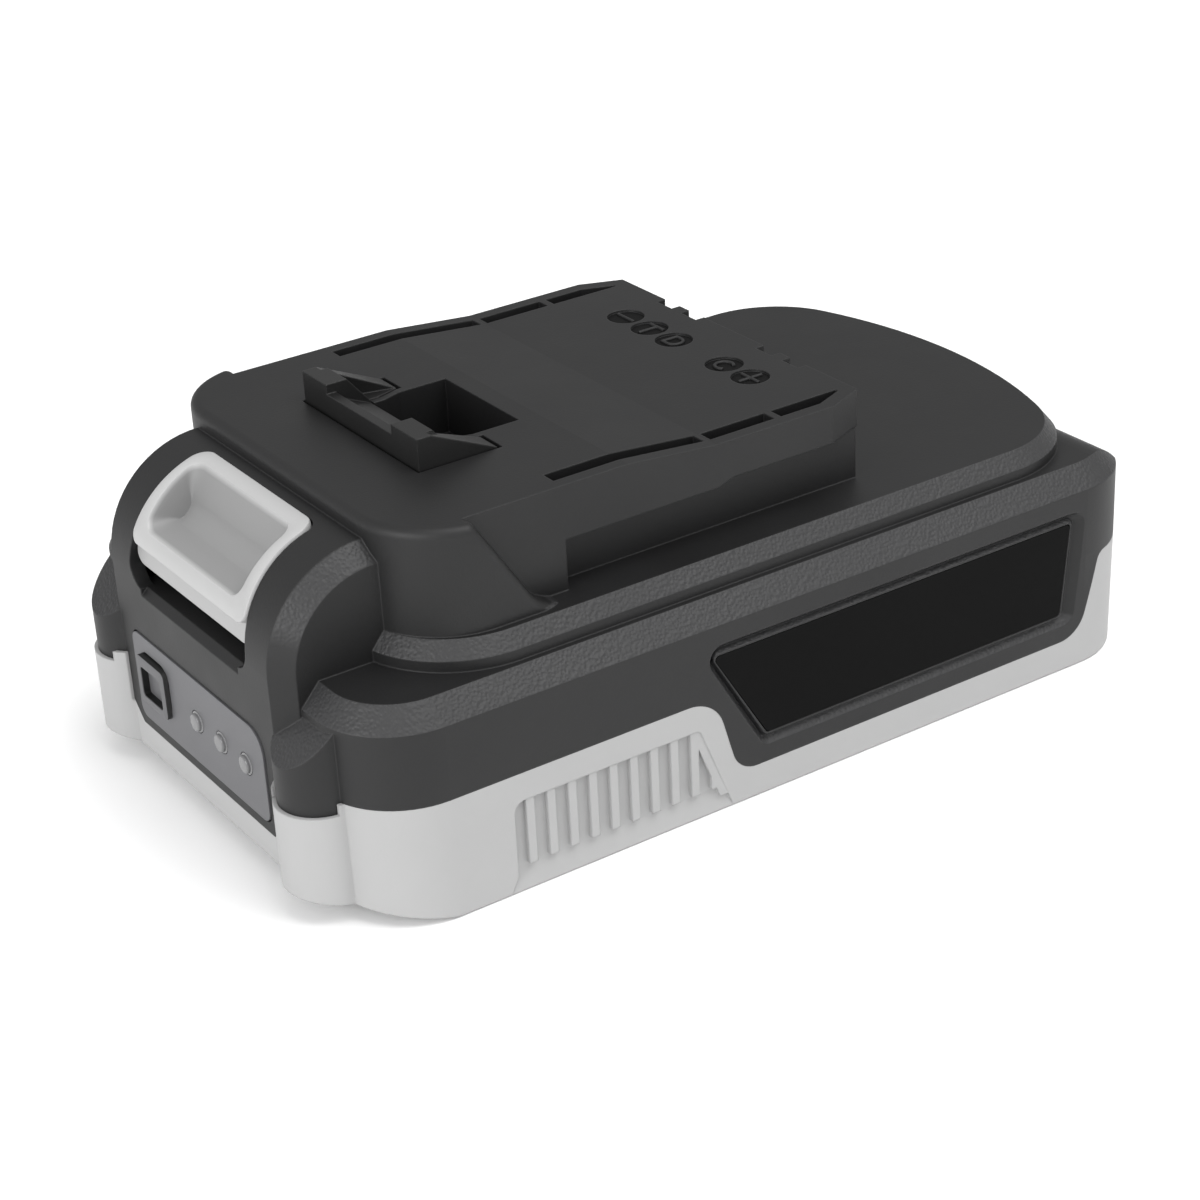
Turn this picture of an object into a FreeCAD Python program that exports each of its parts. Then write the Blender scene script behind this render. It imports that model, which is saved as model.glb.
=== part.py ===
import FreeCAD, Part
import math
import os

os.makedirs("parts", exist_ok=True)

# Slide-on battery pack for cordless tools: five round cells in one layer, lying across the pack.
# Millimetres. X runs along the pack, the release button is at -X. Z is up from the resting face.
# The origin is under the middle of the pack, on the resting face.

# Cells
cell_diameter = 18.4
cell_length = 65.0
cell_count = 5
cell_gap = 1.0
cell_cap_diameter = 7.6
cell_cap_height = 0.9

# Room round the cell row, inside the housing
front_room = 11.4
rear_room = 11.8
end_room = 3.3
cradle = 0.9
board_room = 5.7

# Housing
wall = 2.2
floor = 2.2
front_corner = 11.0
rear_corner = 12.0
edge_inset = 2.6
edge_height = 2.9
draft = 0.2
bottom_bevel = 0.25
toe_rise = 3.9
toe_length = 17.2
rear_top_round = 8.6
rear_low_round = 3.5

# Corner posts at the front
post_reach = 5.2
post_radius = 5.8
post_y = 25.0
post_front_height = 20.6
post_slope = 0.95
post_step = 0.5

# Parting line between the two shells
part_high = 16.6
part_low = 4.6
part_rear = 16.2
part_post = 15.2
part_band = 7.2
part_band_cut = 2.4
part_band_margin = 0.6
rim_width = 1.4
swoop_high_from_front = 49.5
swoop_low_from_front = 52.9
swoop_high_round = 5.4
swoop_low_round = 3.9
rise_low_from_rear = 12.7
rise_high_from_rear = 9.2
rise_low_round = 4.5
rise_high_round = 1.5

# Raised deck, latch block and rail plate
deck_rise = 3.6
deck_half_width = 32.8
deck_corner = 14.0
deck_front_corner = 12.6
deck_rear_radius = 70.0
deck_rear_gap = 4.1
deck_inset = 1.7
deck_edge_height = 2.1
block_setback = 11.3
block_length = 9.6
block_half_width = 31.8
block_edge_round = 1.2
tail_run = 8.8
rail_half_width = 28.9
neck_half_width = 26.0
groove_height = 7.5
groove_start = 23.4
rail_step = 0.8
rail_step_x = 21.6
rail_height = 5.1
rail_rise = 1.3
landing = 42.0
ramp_from_rear = 24.2
ramp_length = 13.2
rail_corner_x = 6.0
rail_corner_y = 2.5
roof = 2.0

# Long cores beside the rail edges
core_inner_y = 24.8
core_outer_y = 27.1
core_from_rear = 47.0
core_depth = 3.4
core_bridge = 1.0
core_bridge_places = (13.8, 24.8)

# Contact slots and their marks, counted from the middle in half pitches
contact_pitch = 5.68
contact_places = {"minus": 2.5, "t": 1.5, "d": 0.5, "c": -1.5, "plus": -2.5}
slot_width = 2.4
slot_low = 3.4
slot_top_skin = 1.6
lead_in_width = 3.5
lead_in_depth = 1.4
mark_diameter = 5.2
mark_depth = 0.4
mark_from_rear = 7.9

# Button housing at the front
hump_reach = 2.8
hump_half_width = 23.7
hump_bevel = 2.5
hump_drop = 2.5
hump_radius = 14.0
hump_wall = 2.0

# Release button and latch
button_half_top = 14.2
button_half_low = 15.8
button_corner = 2.5
button_thick = 4.4
button_skirt = 12.4
button_lip = 9.4
button_lip_rise = 0.9
button_gap = 0.3
button_end_gap = 2.2
button_rim = 2.2
button_scoop = 2.7
button_scoop_corner = 2.2
button_scoop_round = 1.4
window_bevel = 1.0
window_shelf = 1.2
carrier_thick = 1.5
carrier_play = 0.05
carrier_drop = 2.0
latch_travel = 3.0
travel_spare = 0.3
hook_from_block = 12.3
hook_bar = 6.2
hook_ridge = 1.3
hook_ridge_step = 1.0
hook_ridge_height = 2.9
hook_lug_height = 4.2
hook_lug_length = 3.0
hook_fin_start = 1.95
hook_half_width = 14.3
hook_lug_inner = 8.1
hook_leg_inner = 9.3
hook_leg_tip_inner = 10.3
hook_leg_bend = 1.8
hook_leg_length = 5.0
hook_wedge = 1.3
tongue_thick = 2.5
tongue_half_width = 11.0
beam_drop = 2.0
pocket_half_width = 8.0
pocket_step = 0.9
pocket_bend = 2.0
pocket_step_end = 4.7
pocket_wall = 1.0
pocket_length = 11.6
pocket_depth = 7.6
latch_gap = 0.3
spring_wire = 0.8
spring_radius = 2.6
spring_y = 11.0
spring_play = 0.05

# Side panels and vent
panel_low = 8.8
panel_high = 22.3
panel_front = 49.3
panel_slant = 8.1
panel_round = 0.6
panel_rear_gap = 14.8
panel_rear_slant = 1.5
panel_frame_high = 1.5
panel_frame_low = 1.9
panel_frame_front = 2.1
panel_frame_foot = 0.6
panel_frame_rear = 2.6
panel_frame_cut = 2.2
panel_recess = 0.85
panel_thick = 0.7
panel_rim = 0.2
panel_groove = 0.95
panel_groove_inner = 0.42
panel_groove_outer = 0.48
panel_seam = 0.1
vent_front = 19.6
vent_top_run = 27.4
vent_low_run = 32.4
vent_high = 12.8
vent_depth = 0.9
vent_ramp = 3.2
vent_flare = 1.2
vent_flare_height = 2.4
vent_round = 1.6
rib_count = 10
rib_pitch = 3.04
rib_width = 1.2
rib_lead = 1.7
rib_low = 3.6
slant_rib_low = 2.2

# Status panel, check button and lights
status_half_width = 17.8
status_low = 8.8
status_high = 21.4
status_corner = 1.6
status_big_corner = 3.4
status_thick = 1.2
status_recess = 1.0
status_seam = 0.15
light_pitch = 6.6
light_offset = 6.3
light_z = 15.2
light_radius = 1.45
light_fit = 0.1
light_dome = 0.3
key_y = 12.0
key_z = 15.5
key_width = 7.3
key_height = 6.6
key_corner = 1.8
key_rim = 1.4
key_dish = 0.9
key_ring = 0.45
key_flange = 1.2
key_flange_thick = 0.6
key_travel = 0.5
guide_thick = 2.0
guide_reach = 3.0
guide_half_height = 2.2
led_thick = 0.8
led_gap = 0.4
led_size = 2.0
switch_size = 4.4
switch_thick = 1.6
board_thick = 1.6
status_board_thick = 1.2

# Cell holders, strips and boards
holder_margin = 1.2
holder_inner_y = 18.0
holder_lip = 0.9
holder_window = 4.6
cell_fit = 0.1
strip_thick = 0.3
strip_width = 8.0
tab_width = 4.0
sheet_thick = 0.25
sheet_gap = 0.1
board_half_width = 22.0
board_lead = 17.6
board_tail = 4.0
contact_leaf = 0.6
contact_throat = 0.9
contact_length = 11.0
contact_seat = 3.0
contact_gap = 0.3
carrier_back = 3.0
strip_grip = 4.2
strip_foot = 3.0

# Screws
screw_radius = 1.45
screw_head_radius = 2.8
screw_head_height = 2.0
screw_length = 17.0
screw_fit = 0.05
boss_low_radius = 4.0
boss_high_radius = 3.2
boss_split = 15.0
boss_offset = 3.5
stay_thick = 1.6
stay_height = 12.0
stay_y = 14.0
head_seat = 3.0
head_room = 0.3
screw_room = 0.25
hex_across = 2.4
hex_depth = 1.2
small_screw_radius = 1.0
small_screw_length = 4.0
small_head_radius = 1.9
small_head_height = 1.2

# Parts on the control board
transistor_length = 9.0
transistor_width = 9.0
transistor_height = 2.3
transistor_tab = 2.0
transistor_tab_height = 1.2
transistor_inset = 4.0
transistor_pitch = 12.0
transistor_y = -5.0
chip_inset = 9.0
chip_size = 7.0
chip_y = 5.0
chip_height = 1.3
pin_count = 6
pin_reach = 1.0
pin_width = 0.4
thermistor_radius = 1.6
thermistor_length = 3.2
thermistor_rise = 5.0
lead_radius = 0.3
lead_spread = 0.8
ribbon_half_width = 4.0
ribbon_thick = 0.6
ribbon_lap = 3.0
spring_seat = 4.5
spring_peg = 2.0
peg_fit = 0.3

# Sizes that follow from the ones above
cell_pitch = cell_diameter + cell_gap
row_length = cell_count * cell_diameter + (cell_count - 1) * cell_gap
overall_length = post_reach + 2 * wall + front_room + row_length + rear_room
nose_x = -overall_length / 2
body_front = nose_x + post_reach
body_rear = overall_length / 2
half_width = cell_length / 2 + end_room + wall
inner_front = body_front + wall
inner_rear = body_rear - wall
inner_half = half_width - wall
row_start = inner_front + front_room
cell_z = floor + cradle + cell_diameter / 2
cell_top = cell_z + cell_diameter / 2
ledge_z = cell_top + board_room + wall
deck_z = ledge_z + deck_rise
rail_low_z = deck_z + groove_height
rail_top = rail_low_z + rail_height
block_top = rail_top + rail_rise
block_front = body_front + block_setback
block_rear = block_front + block_length
platform_rear = body_rear - landing
groove_front = block_front + groove_start
hump_front = body_front - hump_reach
hump_top = block_top - hump_drop
hump_centre_x = hump_front + hump_radius
hump_centre_z = hump_top - hump_radius
hook_front = block_front + hook_from_block
hook_rear = hook_front + hook_bar
leg_end = hook_rear + hook_leg_length
pocket_rear = hook_rear + pocket_length
beam_low = hump_top - beam_drop
tongue_top = beam_low - latch_gap - 0.2
tongue_low = tongue_top - tongue_thick
button_rear = block_front - button_end_gap
skirt_low = hump_top - button_skirt
holder_top = cell_top + holder_margin
board_z = holder_top
board_top = board_z + board_thick
board_front = row_start + board_lead
board_rear = row_start + (cell_count - 1) * cell_pitch + board_tail
carrier_rear = platform_rear - wall - contact_gap
status_board_x = hump_front + hump_wall + guide_thick + led_thick + led_gap
hump_window_half = hump_half_width - hump_bevel - part_band_margin
light_y = [light_pitch * step - light_offset for step in (1, 0, -1)]
panel_left_top = body_front + panel_front
strip_y = cell_length / 2 + holder_lip
vent_left = body_front + vent_front
vent_right_top = vent_left + vent_top_run
vent_right_low = vent_left + vent_low_run
toe_start = nose_x + toe_length
toe_slope = toe_rise / toe_length
over = 5.0


def vec(x, y, z):
    return FreeCAD.Vector(x, y, z)


def box(x0, x1, y0, y1, z0, z1):
    return Part.makeBox(x1 - x0, y1 - y0, z1 - z0, vec(x0, y0, z0))


def post(x, y, z0, z1, radius):
    return Part.makeCylinder(radius, z1 - z0, vec(x, y, z0))


def rod(x0, x1, y, z, radius):
    return Part.makeCylinder(radius, x1 - x0, vec(x0, y, z), vec(1, 0, 0))


def cross_rod(x, y0, y1, z, radius):
    return Part.makeCylinder(radius, y1 - y0, vec(x, y0, z), vec(0, 1, 0))


def rounded(corners, place):
    """Closed outline through (a, b) corners, where place turns a and b into a point. A third value is the
    radius of the arc at its corner."""
    spots = [place(corner[0], corner[1]) for corner in corners]
    turns = []
    for i, corner in enumerate(corners):
        here = spots[i]
        if len(corner) < 3:
            turns.append((here, None, here))
            continue
        back = (spots[i - 1] - here).normalize()
        onward = (spots[(i + 1) % len(spots)] - here).normalize()
        half = back.getAngle(onward) / 2
        reach = corner[2] / math.tan(half)
        bisector = (back + onward).normalize()
        top = here + bisector * (corner[2] / math.sin(half) - corner[2])
        turns.append((here + back * reach, top, here + onward * reach))
    edges = []
    for i, (start, top, end) in enumerate(turns):
        if top is not None:
            edges.append(Part.Arc(start, top, end).toShape())
        following = turns[(i + 1) % len(turns)][0]
        if end.distanceToPoint(following) > 0.001:
            edges.append(Part.makeLine(end, following))
    return Part.Wire(edges)


def side_plate(points, y0, y1):
    """Solid between y0 and y1 with an outline given as (x, z) corners."""
    face = Part.Face(rounded(points, lambda x, z: vec(x, y0, z)))
    return face.extrude(vec(0, y1 - y0, 0))


def front_plate(points, x0, x1):
    """Solid between x0 and x1 with an outline given as (y, z) corners."""
    face = Part.Face(rounded(points, lambda y, z: vec(x0, y, z)))
    return face.extrude(vec(x1 - x0, 0, 0))


def plan_plate(points, z0, z1):
    """Solid between z0 and z1 with an outline given as (x, y) corners."""
    face = Part.Face(rounded(points, lambda x, y: vec(x, y, z0)))
    return face.extrude(vec(0, 0, z1 - z0))


def joined(shapes):
    """One solid from several that touch or overlap."""
    result = shapes[0]
    for shape in shapes[1:]:
        result = result.fuse(shape)
    return result.removeSplitter()


def mirrored(shape):
    return shape.mirror(vec(0, 0, 0), vec(0, 1, 0))


def arc_edge(x, y, z, radius, start, end):
    """Level arc round (x, y), from angle start to angle end in degrees."""
    points = []
    for angle in (start, (start + end) / 2, end):
        turn = math.radians(angle)
        points.append(vec(x + radius * math.cos(turn), y + radius * math.sin(turn), z))
    return Part.Arc(*points).toShape()


def closed_wire(arcs):
    """Outline that links arcs, given in order, with straight lines."""
    edges = []
    for i, arc in enumerate(arcs):
        following = arcs[(i + 1) % len(arcs)]
        edges.append(arc)
        start = arc.valueAt(arc.LastParameter)
        end = following.valueAt(following.FirstParameter)
        if start.distanceToPoint(end) > 0.001:
            edges.append(Part.makeLine(start, end))
    return Part.Wire(edges)


def body_outline(inset, z):
    """Rounded rectangle of the housing, drawn in by inset."""
    y = half_width
    front = front_corner
    rear = rear_corner
    return closed_wire([
        arc_edge(body_front + front, front - y, z, front - inset, 180, 270),
        arc_edge(body_rear - rear, rear - y, z, rear - inset, 270, 360),
        arc_edge(body_rear - rear, y - rear, z, rear - inset, 0, 90),
        arc_edge(body_front + front, y - front, z, front - inset, 90, 180),
    ])


def deck_outline(inset, z):
    """Outline of the deck: square front with round corners, bowed rear end."""
    y = deck_half_width
    front_y = y - deck_front_corner
    rear_y = y - deck_corner
    bow_x = body_rear - deck_rear_gap - deck_rear_radius
    reach = deck_rear_radius - deck_corner
    swing = math.degrees(math.asin(rear_y / reach))
    rear_x = bow_x + math.sqrt(reach ** 2 - rear_y ** 2)
    front_x = block_front + deck_front_corner
    front = deck_front_corner - inset
    rear = deck_corner - inset
    return closed_wire([
        arc_edge(front_x, -front_y, z, front, 180, 270),
        arc_edge(rear_x, -rear_y, z, rear, 270, 360 - swing),
        arc_edge(bow_x, 0, z, deck_rear_radius - inset, -swing, swing),
        arc_edge(rear_x, rear_y, z, rear, swing, 90),
        arc_edge(front_x, front_y, z, front, 90, 180),
    ])


def stack(outline, levels):
    """Solid through an outline at several (inset, z) levels."""
    return Part.makeLoft([outline(inset, z) for inset, z in levels], True, True)


def toe_lift(x):
    """Height of the underside at x, where it slopes up towards the front."""
    return toe_slope * max(0, toe_start - x)


def toe_wedge(lift):
    """Space under the sloping underside at the front, raised by lift."""
    tip = nose_x - over
    return side_plate([(toe_start, lift), (tip, lift + toe_lift(tip)), (tip, -over), (toe_start, -over)],
                      -half_width - over, half_width + over)


def rear_rounds(inset):
    """Plate across the whole width with the round upper and lower rear edges, drawn in by inset."""
    rear = body_rear - inset
    top = ledge_z - inset
    return side_plate([
        (nose_x - over, inset), (rear, inset, rear_low_round - inset), (rear, top, rear_top_round - inset),
        (nose_x - over, top),
    ], -half_width, half_width)


def post_solid(side, radius, low, drop):
    """Half-round front corner post with its slanted cap."""
    column = post(nose_x + post_radius, side * post_y, low, ledge_z - post_step, radius)
    front = post_front_height - drop
    run = 3 * post_radius
    cap = side_plate([(nose_x - over, front - over * post_slope), (nose_x + run, front + run * post_slope),
                      (nose_x + run, hump_top + over), (nose_x - over, hump_top + over)],
                     -half_width, half_width)
    return column.cut(cap)


def hump_profile(inset, y, low):
    """Side view of the button housing: upright front, round shoulder and level top."""
    radius = hump_radius - inset
    left = hump_front + inset
    top = hump_top - inset
    rear = block_front + over
    turn = math.radians(135)
    middle = vec(hump_centre_x + radius * math.cos(turn), y, hump_centre_z + radius * math.sin(turn))
    shoulder = Part.Arc(vec(left, y, hump_centre_z), middle, vec(hump_centre_x, y, top)).toShape()
    return Part.Wire([
        Part.makeLine(vec(rear, y, low), vec(left, y, low)),
        Part.makeLine(vec(left, y, low), vec(left, y, hump_centre_z)),
        shoulder,
        Part.makeLine(vec(hump_centre_x, y, top), vec(rear, y, top)),
        Part.makeLine(vec(rear, y, top), vec(rear, y, low)),
    ])


def hump_slab(inset, half, low):
    """Plate as wide as half on both sides with the side view of the button housing, above the level low."""
    slab = Part.Face(hump_profile(inset, -half, -over)).extrude(vec(0, 2 * half, 0))
    return slab.cut(box(nose_x - over, block_front + 2 * over, -half - 1, half + 1, -2 * over, low))


def hump_solid():
    """Button housing with its bevelled side edges."""
    core = hump_slab(0, hump_half_width - hump_bevel, 0)
    flanks = []
    for side in (-1, 1):
        outer = hump_profile(hump_bevel, side * hump_half_width, 0)
        inner = hump_profile(0, side * (hump_half_width - hump_bevel), 0)
        flanks.append(Part.makeLoft([inner, outer], True, True))
    return core.fuse(flanks)


def tail_profile():
    """Side view of the latch block, with the curved slope behind it."""
    y = -block_half_width
    foot = block_rear + tail_run
    start = vec(block_rear + 0.8 * tail_run, y, deck_z + 0.2 * (block_top - deck_z))
    middle = vec(foot + 0.2, y, deck_z + 0.9)
    end = vec(foot + 2.4, y, deck_z)
    low = deck_z - roof
    return Part.Wire([
        Part.makeLine(vec(block_front - over, y, low), vec(block_front - over, y, block_top)),
        Part.makeLine(vec(block_front - over, y, block_top), vec(block_rear, y, block_top)),
        Part.makeLine(vec(block_rear, y, block_top), start),
        Part.Arc(start, middle, end).toShape(),
        Part.makeLine(end, vec(end.x, y, low)),
        Part.makeLine(vec(end.x, y, low), vec(block_front - over, y, low)),
    ])


def block_solid():
    """Latch block with round front corners, its sloping rear and a soft upper edge."""
    slab = Part.Face(tail_profile()).extrude(vec(0, 2 * block_half_width, 0))
    narrow = deck_half_width - block_half_width
    front = deck_front_corner - narrow
    y = block_half_width - front
    outline = closed_wire([
        arc_edge(block_front + front, -y, deck_z - roof, front, 180, 270),
        arc_edge(platform_rear, -y, deck_z - roof, front, 270, 360),
        arc_edge(platform_rear, y, deck_z - roof, front, 0, 90),
        arc_edge(block_front + front, y, deck_z - roof, front, 90, 180),
    ])
    prism = Part.Face(outline).extrude(vec(0, 0, block_top - deck_z + 2 * roof))
    block = slab.common(prism)
    rim = []
    for edge in block.Edges:
        limits = edge.BoundBox
        across = limits.YLength > block_half_width and limits.XMin > block_front + front
        if limits.ZMin > deck_z + roof and not across and limits.ZMax > block_top - 0.01:
            rim.append(edge)
    return block.makeFillet(block_edge_round, rim)


def rail_plate():
    """Rail plate with its ramp, stepped underside and cut rear corners."""
    front = block_rear - 1
    ramp = platform_rear - ramp_from_rear
    step = platform_rear - rail_step_x
    low = rail_low_z - rail_step
    plate = side_plate([
        (front, block_top), (ramp - ramp_length, block_top), (ramp, rail_top), (platform_rear, rail_top),
        (platform_rear, rail_low_z), (step, rail_low_z), (step - 3 * rail_step, low), (front, low),
    ], -rail_half_width, rail_half_width)
    corner = plan_plate([
        (platform_rear - rail_corner_x, rail_half_width), (platform_rear, rail_half_width - rail_corner_y),
        (platform_rear + over, rail_half_width - rail_corner_y), (platform_rear + over, rail_half_width + over),
        (platform_rear - rail_corner_x, rail_half_width + over),
    ], deck_z, block_top + over)
    return plate.cut(corner).cut(mirrored(corner))


def base_form():
    """Outer form of the housing without its corner posts, both shells together."""
    body = stack(body_outline, [
        (draft + bottom_bevel, 0), (draft, bottom_bevel), (0, part_high),
        (0, ledge_z - edge_height), (edge_inset, ledge_z),
    ]).common(rear_rounds(0))
    deck = stack(deck_outline, [
        (-deck_inset, ledge_z - wall), (-deck_inset, deck_z - deck_edge_height), (0, deck_z),
    ])
    seat = box(block_rear - 1, groove_front, -rail_half_width, rail_half_width, deck_z - roof, block_top)
    neck = box(groove_front, platform_rear, -neck_half_width, neck_half_width, deck_z - roof, rail_low_z + 1)
    return joined([body, deck, block_solid(), seat, neck, rail_plate(), hump_solid()])


def with_posts(base, step):
    """Outer form with corner posts that are narrower by step."""
    posts = [post_solid(side, post_radius - step, 0, 0) for side in (-1, 1)]
    return joined([base] + posts).cut(toe_wedge(0))


def inside():
    """Space inside the housing that the cells, boards and latch share."""
    low = floor
    body = stack(body_outline, [
        (wall, low), (wall, ledge_z - edge_height), (wall + edge_inset - 0.6, ledge_z - wall),
    ]).common(rear_rounds(wall))
    deck = stack(deck_outline, [(wall, ledge_z - wall - 1), (wall, deck_z - roof)])
    neck = box(block_front + wall, platform_rear - wall, wall - neck_half_width, neck_half_width - wall,
               deck_z - roof - 1, rail_top - roof)
    loft_end = platform_rear - ramp_from_rear - ramp_length
    upper = box(block_front + wall, loft_end, wall - neck_half_width, neck_half_width - wall,
                deck_z - roof - 1, block_top - roof)
    shoulders = box(block_front + wall + 1, block_rear - 1, wall - block_half_width + 2,
                    block_half_width - wall - 2, deck_z - roof - 1, block_top - roof - 1)
    hump = hump_slab(hump_wall, hump_half_width - hump_wall, status_low - 0.6)
    reach = box(hump_front, block_front + wall + 1, -over * over, over * over, 0, beam_low)
    hump = hump.common(reach)
    cores = [post_solid(side, post_radius - hump_wall, 0, hump_wall) for side in (-1, 1)]
    space = joined([body, deck, neck, upper, shoulders, hump] + cores)
    space = space.cut(box(nose_x, body_rear, -half_width, half_width, -over, low))
    return space.cut(toe_wedge(floor))


def parting_tool():
    """Everything below the parting line between the light lower shell and the dark upper one."""
    y = half_width + over
    high_x = body_front + swoop_high_from_front
    low_x = body_front + swoop_low_from_front
    rise_low = body_rear - rise_low_from_rear
    rise_high = body_rear - rise_high_from_rear
    below = side_plate([
        (nose_x - over, part_post), (body_front, part_post), (body_front, part_high),
        (high_x, part_high, swoop_high_round), (low_x, part_low, swoop_low_round),
        (rise_low, part_low, rise_low_round), (rise_high, part_rear, rise_high_round),
        (body_rear + over, part_rear), (body_rear + over, -over), (nose_x - over, -over),
    ], -y, y)
    window = hump_window_half
    for side in (-1, 1):
        rim = (side * window, side * (window + rim_width))
        below = below.fuse(box(nose_x + post_step, body_front + 1, min(rim), max(rim), 0, part_high))
    return below.cut(hump_window())


def hump_window():
    """Part of the front, between the posts, that belongs to the upper shell below its parting line."""
    half = hump_window_half
    low = part_band
    cut = part_band_cut
    return front_plate([
        (-half, low + cut), (-half + cut, low), (half - cut, low), (half, low + cut),
        (half, part_high + over), (-half, part_high + over),
    ], nose_x - over, inner_front)


def boss_places():
    """Centres of the four housing screws, one inside each corner."""
    front_x = body_front + front_corner - boss_offset
    front_y = half_width - front_corner + boss_offset
    rear_x = body_rear - rear_corner + boss_offset
    rear_y = half_width - rear_corner + boss_offset
    return [(front_x, -front_y), (front_x, front_y), (rear_x, -rear_y), (rear_x, rear_y)]


def seat_level(x):
    """Height of a housing screw's seat, above the sloping underside."""
    return head_seat + toe_lift(x - screw_head_radius)


def panel_points(share, margin):
    """Corners of the side panel's bed as (x, z, radius): share 0 is the panel, share 1 the outer edge of the
    bevelled frame. All are drawn in by margin."""
    high = panel_high + share * panel_frame_high - margin
    low = panel_low - share * panel_frame_low + margin
    rear = body_rear - panel_rear_gap + share * panel_frame_rear - margin
    rear_low = rear - panel_rear_slant
    top_front = panel_left_top - share * panel_frame_front + margin
    low_front = panel_left_top + panel_slant - share * panel_frame_foot + margin
    turn = panel_round + share * (panel_frame_cut - panel_round)
    return [(top_front, high, turn), (low_front, low, turn), (rear_low, low, turn), (rear, high, turn)]


def panel_step(side, outer, inner):
    """Solid between two outlines of the panel, each given as (share, margin, depth below the wall)."""
    wires = []
    for share, margin, depth in (outer, inner):
        y = side * (half_width - depth)
        wires.append(rounded(panel_points(share, margin), lambda x, z: vec(x, y, z)))
    return Part.makeLoft(wires, True, True)


def panel_bed(side):
    """Bevelled groove round the side panel and the shallow bed that the panel lies in, as one cutter."""
    surface = side * half_width
    outside = side * (half_width + 1)
    bed = side * (half_width - panel_recess)
    mouth = side_plate(panel_points(1, 0), min(surface, outside), max(surface, outside))
    groove = panel_step(side, (1, 0, 0), (panel_groove_outer, 0, panel_groove))
    plinth = panel_step(side, (panel_groove_inner, 0, panel_groove), (0, -panel_rim, panel_recess - panel_thick))
    pocket = side_plate(panel_points(0, 0), min(bed, outside), max(bed, outside))
    return mouth.fuse(groove).cut(plinth).fuse(pocket)


def side_panel(side):
    y0 = side * (half_width - panel_recess)
    y1 = y0 + side * panel_thick
    return side_plate(panel_points(0, panel_seam), min(y0, y1), max(y0, y1))


def vent_bed(side):
    """Recess for the ribbed vent field. Its floor comes out to the surface at the bottom edge."""
    deep = side * (half_width - vent_depth)
    skin = side * (half_width - draft)
    outer = side * (half_width + 1)
    floor_form = front_plate([(outer, vent_high), (deep, vent_high), (deep, vent_ramp), (skin, 0), (outer, 0)],
                             vent_left - vent_flare, vent_right_low)
    outline = side_plate([
        (vent_left - vent_flare, 0), (vent_left, vent_flare_height), (vent_left, vent_high, vent_round),
        (vent_right_top, vent_high, vent_round / 2), (vent_right_low, 0),
    ], min(deep, outer), max(deep, outer))
    return floor_form.common(outline)


def vent_ribs(side):
    """Upright ribs across the vent field, and the slanting one along its rear end that the last two meet."""
    y0 = side * (half_width - vent_depth - draft)
    y1 = side * (half_width - draft)
    slope = (vent_right_low - vent_right_top) / vent_high
    foot = vent_right_low - slope * slant_rib_low
    ribs = [side_plate([
        (vent_right_top - rib_width, vent_high), (vent_right_top, vent_high), (foot, slant_rib_low),
        (foot - rib_width, slant_rib_low),
    ], min(y0, y1), max(y0, y1))]
    for i in range(rib_count):
        x = vent_left + rib_lead + i * rib_pitch
        limit = (vent_right_low - x - rib_width / 2) / slope
        ribs.append(box(x, x + rib_width, min(y0, y1), max(y0, y1), rib_low, min(vent_high, limit)))
    return ribs


def lower_ribs():
    """Ribs on the lower shell's floor that hold the cell pack and the status board."""
    half = stay_thick / 2
    ribs = []
    rear = row_start + row_length + holder_margin + latch_gap
    board_back = status_board_x + status_board_thick
    for side in (-1, 1):
        y = side * stay_y
        ribs.append(box(rear, inner_rear + 0.5, y - half, y + half, floor - 0.5, stay_height))
        ribs.append(box(board_back, row_start - holder_margin - latch_gap, y - half, y + half,
                        floor - 0.5, stay_height))
    return ribs


def lower_shell(hollow, tool):
    shell = hollow.common(tool)
    columns = [post(x, y, floor - 0.5, boss_split, boss_low_radius) for x, y in boss_places()]
    shell = joined([shell] + lower_ribs() + columns).cut(toe_wedge(0))
    for x, y in boss_places():
        shell = shell.cut(post(x, y, -1, boss_split + 1, screw_radius + screw_room))
        shell = shell.cut(post(x, y, -1, seat_level(x), screw_head_radius + head_room))
    for side in (-1, 1):
        shell = shell.cut(vent_bed(side))
        shell = shell.fuse(vent_ribs(side))
    return shell.removeSplitter()


def contact_slots():
    """Slots in the rear of the rail plate where a tool's blades enter, and the recessed marks over them."""
    cuts = []
    low = rail_low_z - slot_low
    for name, place in contact_places.items():
        y = place * contact_pitch
        cuts.append(box(platform_rear - wall - 1, platform_rear + 1, y - slot_width / 2, y + slot_width / 2,
                        low, rail_top - slot_top_skin))
        if name != "d":
            cuts.append(box(platform_rear - lead_in_depth, platform_rear + 1, y - lead_in_width / 2,
                            y + lead_in_width / 2, low, rail_top + 1))
        cuts.append(post(platform_rear - mark_from_rear, y, rail_top - mark_depth, rail_top + 1,
                         mark_diameter / 2))
    return cuts


def rail_cores():
    """Long pockets beside the rail edges, crossed by short bridges."""
    cuts = []
    front = platform_rear - core_from_rear
    for side in (-1, 1):
        inner = side * core_inner_y
        outer = side * core_outer_y
        pocket = plan_plate([
            (front, inner), (front, outer), (platform_rear - 6.6, outer),
            (platform_rear - 2.2, side * (core_inner_y + 0.5)), (platform_rear - 2.2, inner),
        ], rail_top - core_depth, block_top + 1)
        for place in core_bridge_places:
            x = platform_rear - place
            pocket = pocket.cut(box(x, x + core_bridge, -half_width, half_width, deck_z, block_top + over))
        cuts.append(pocket)
    return cuts


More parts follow.
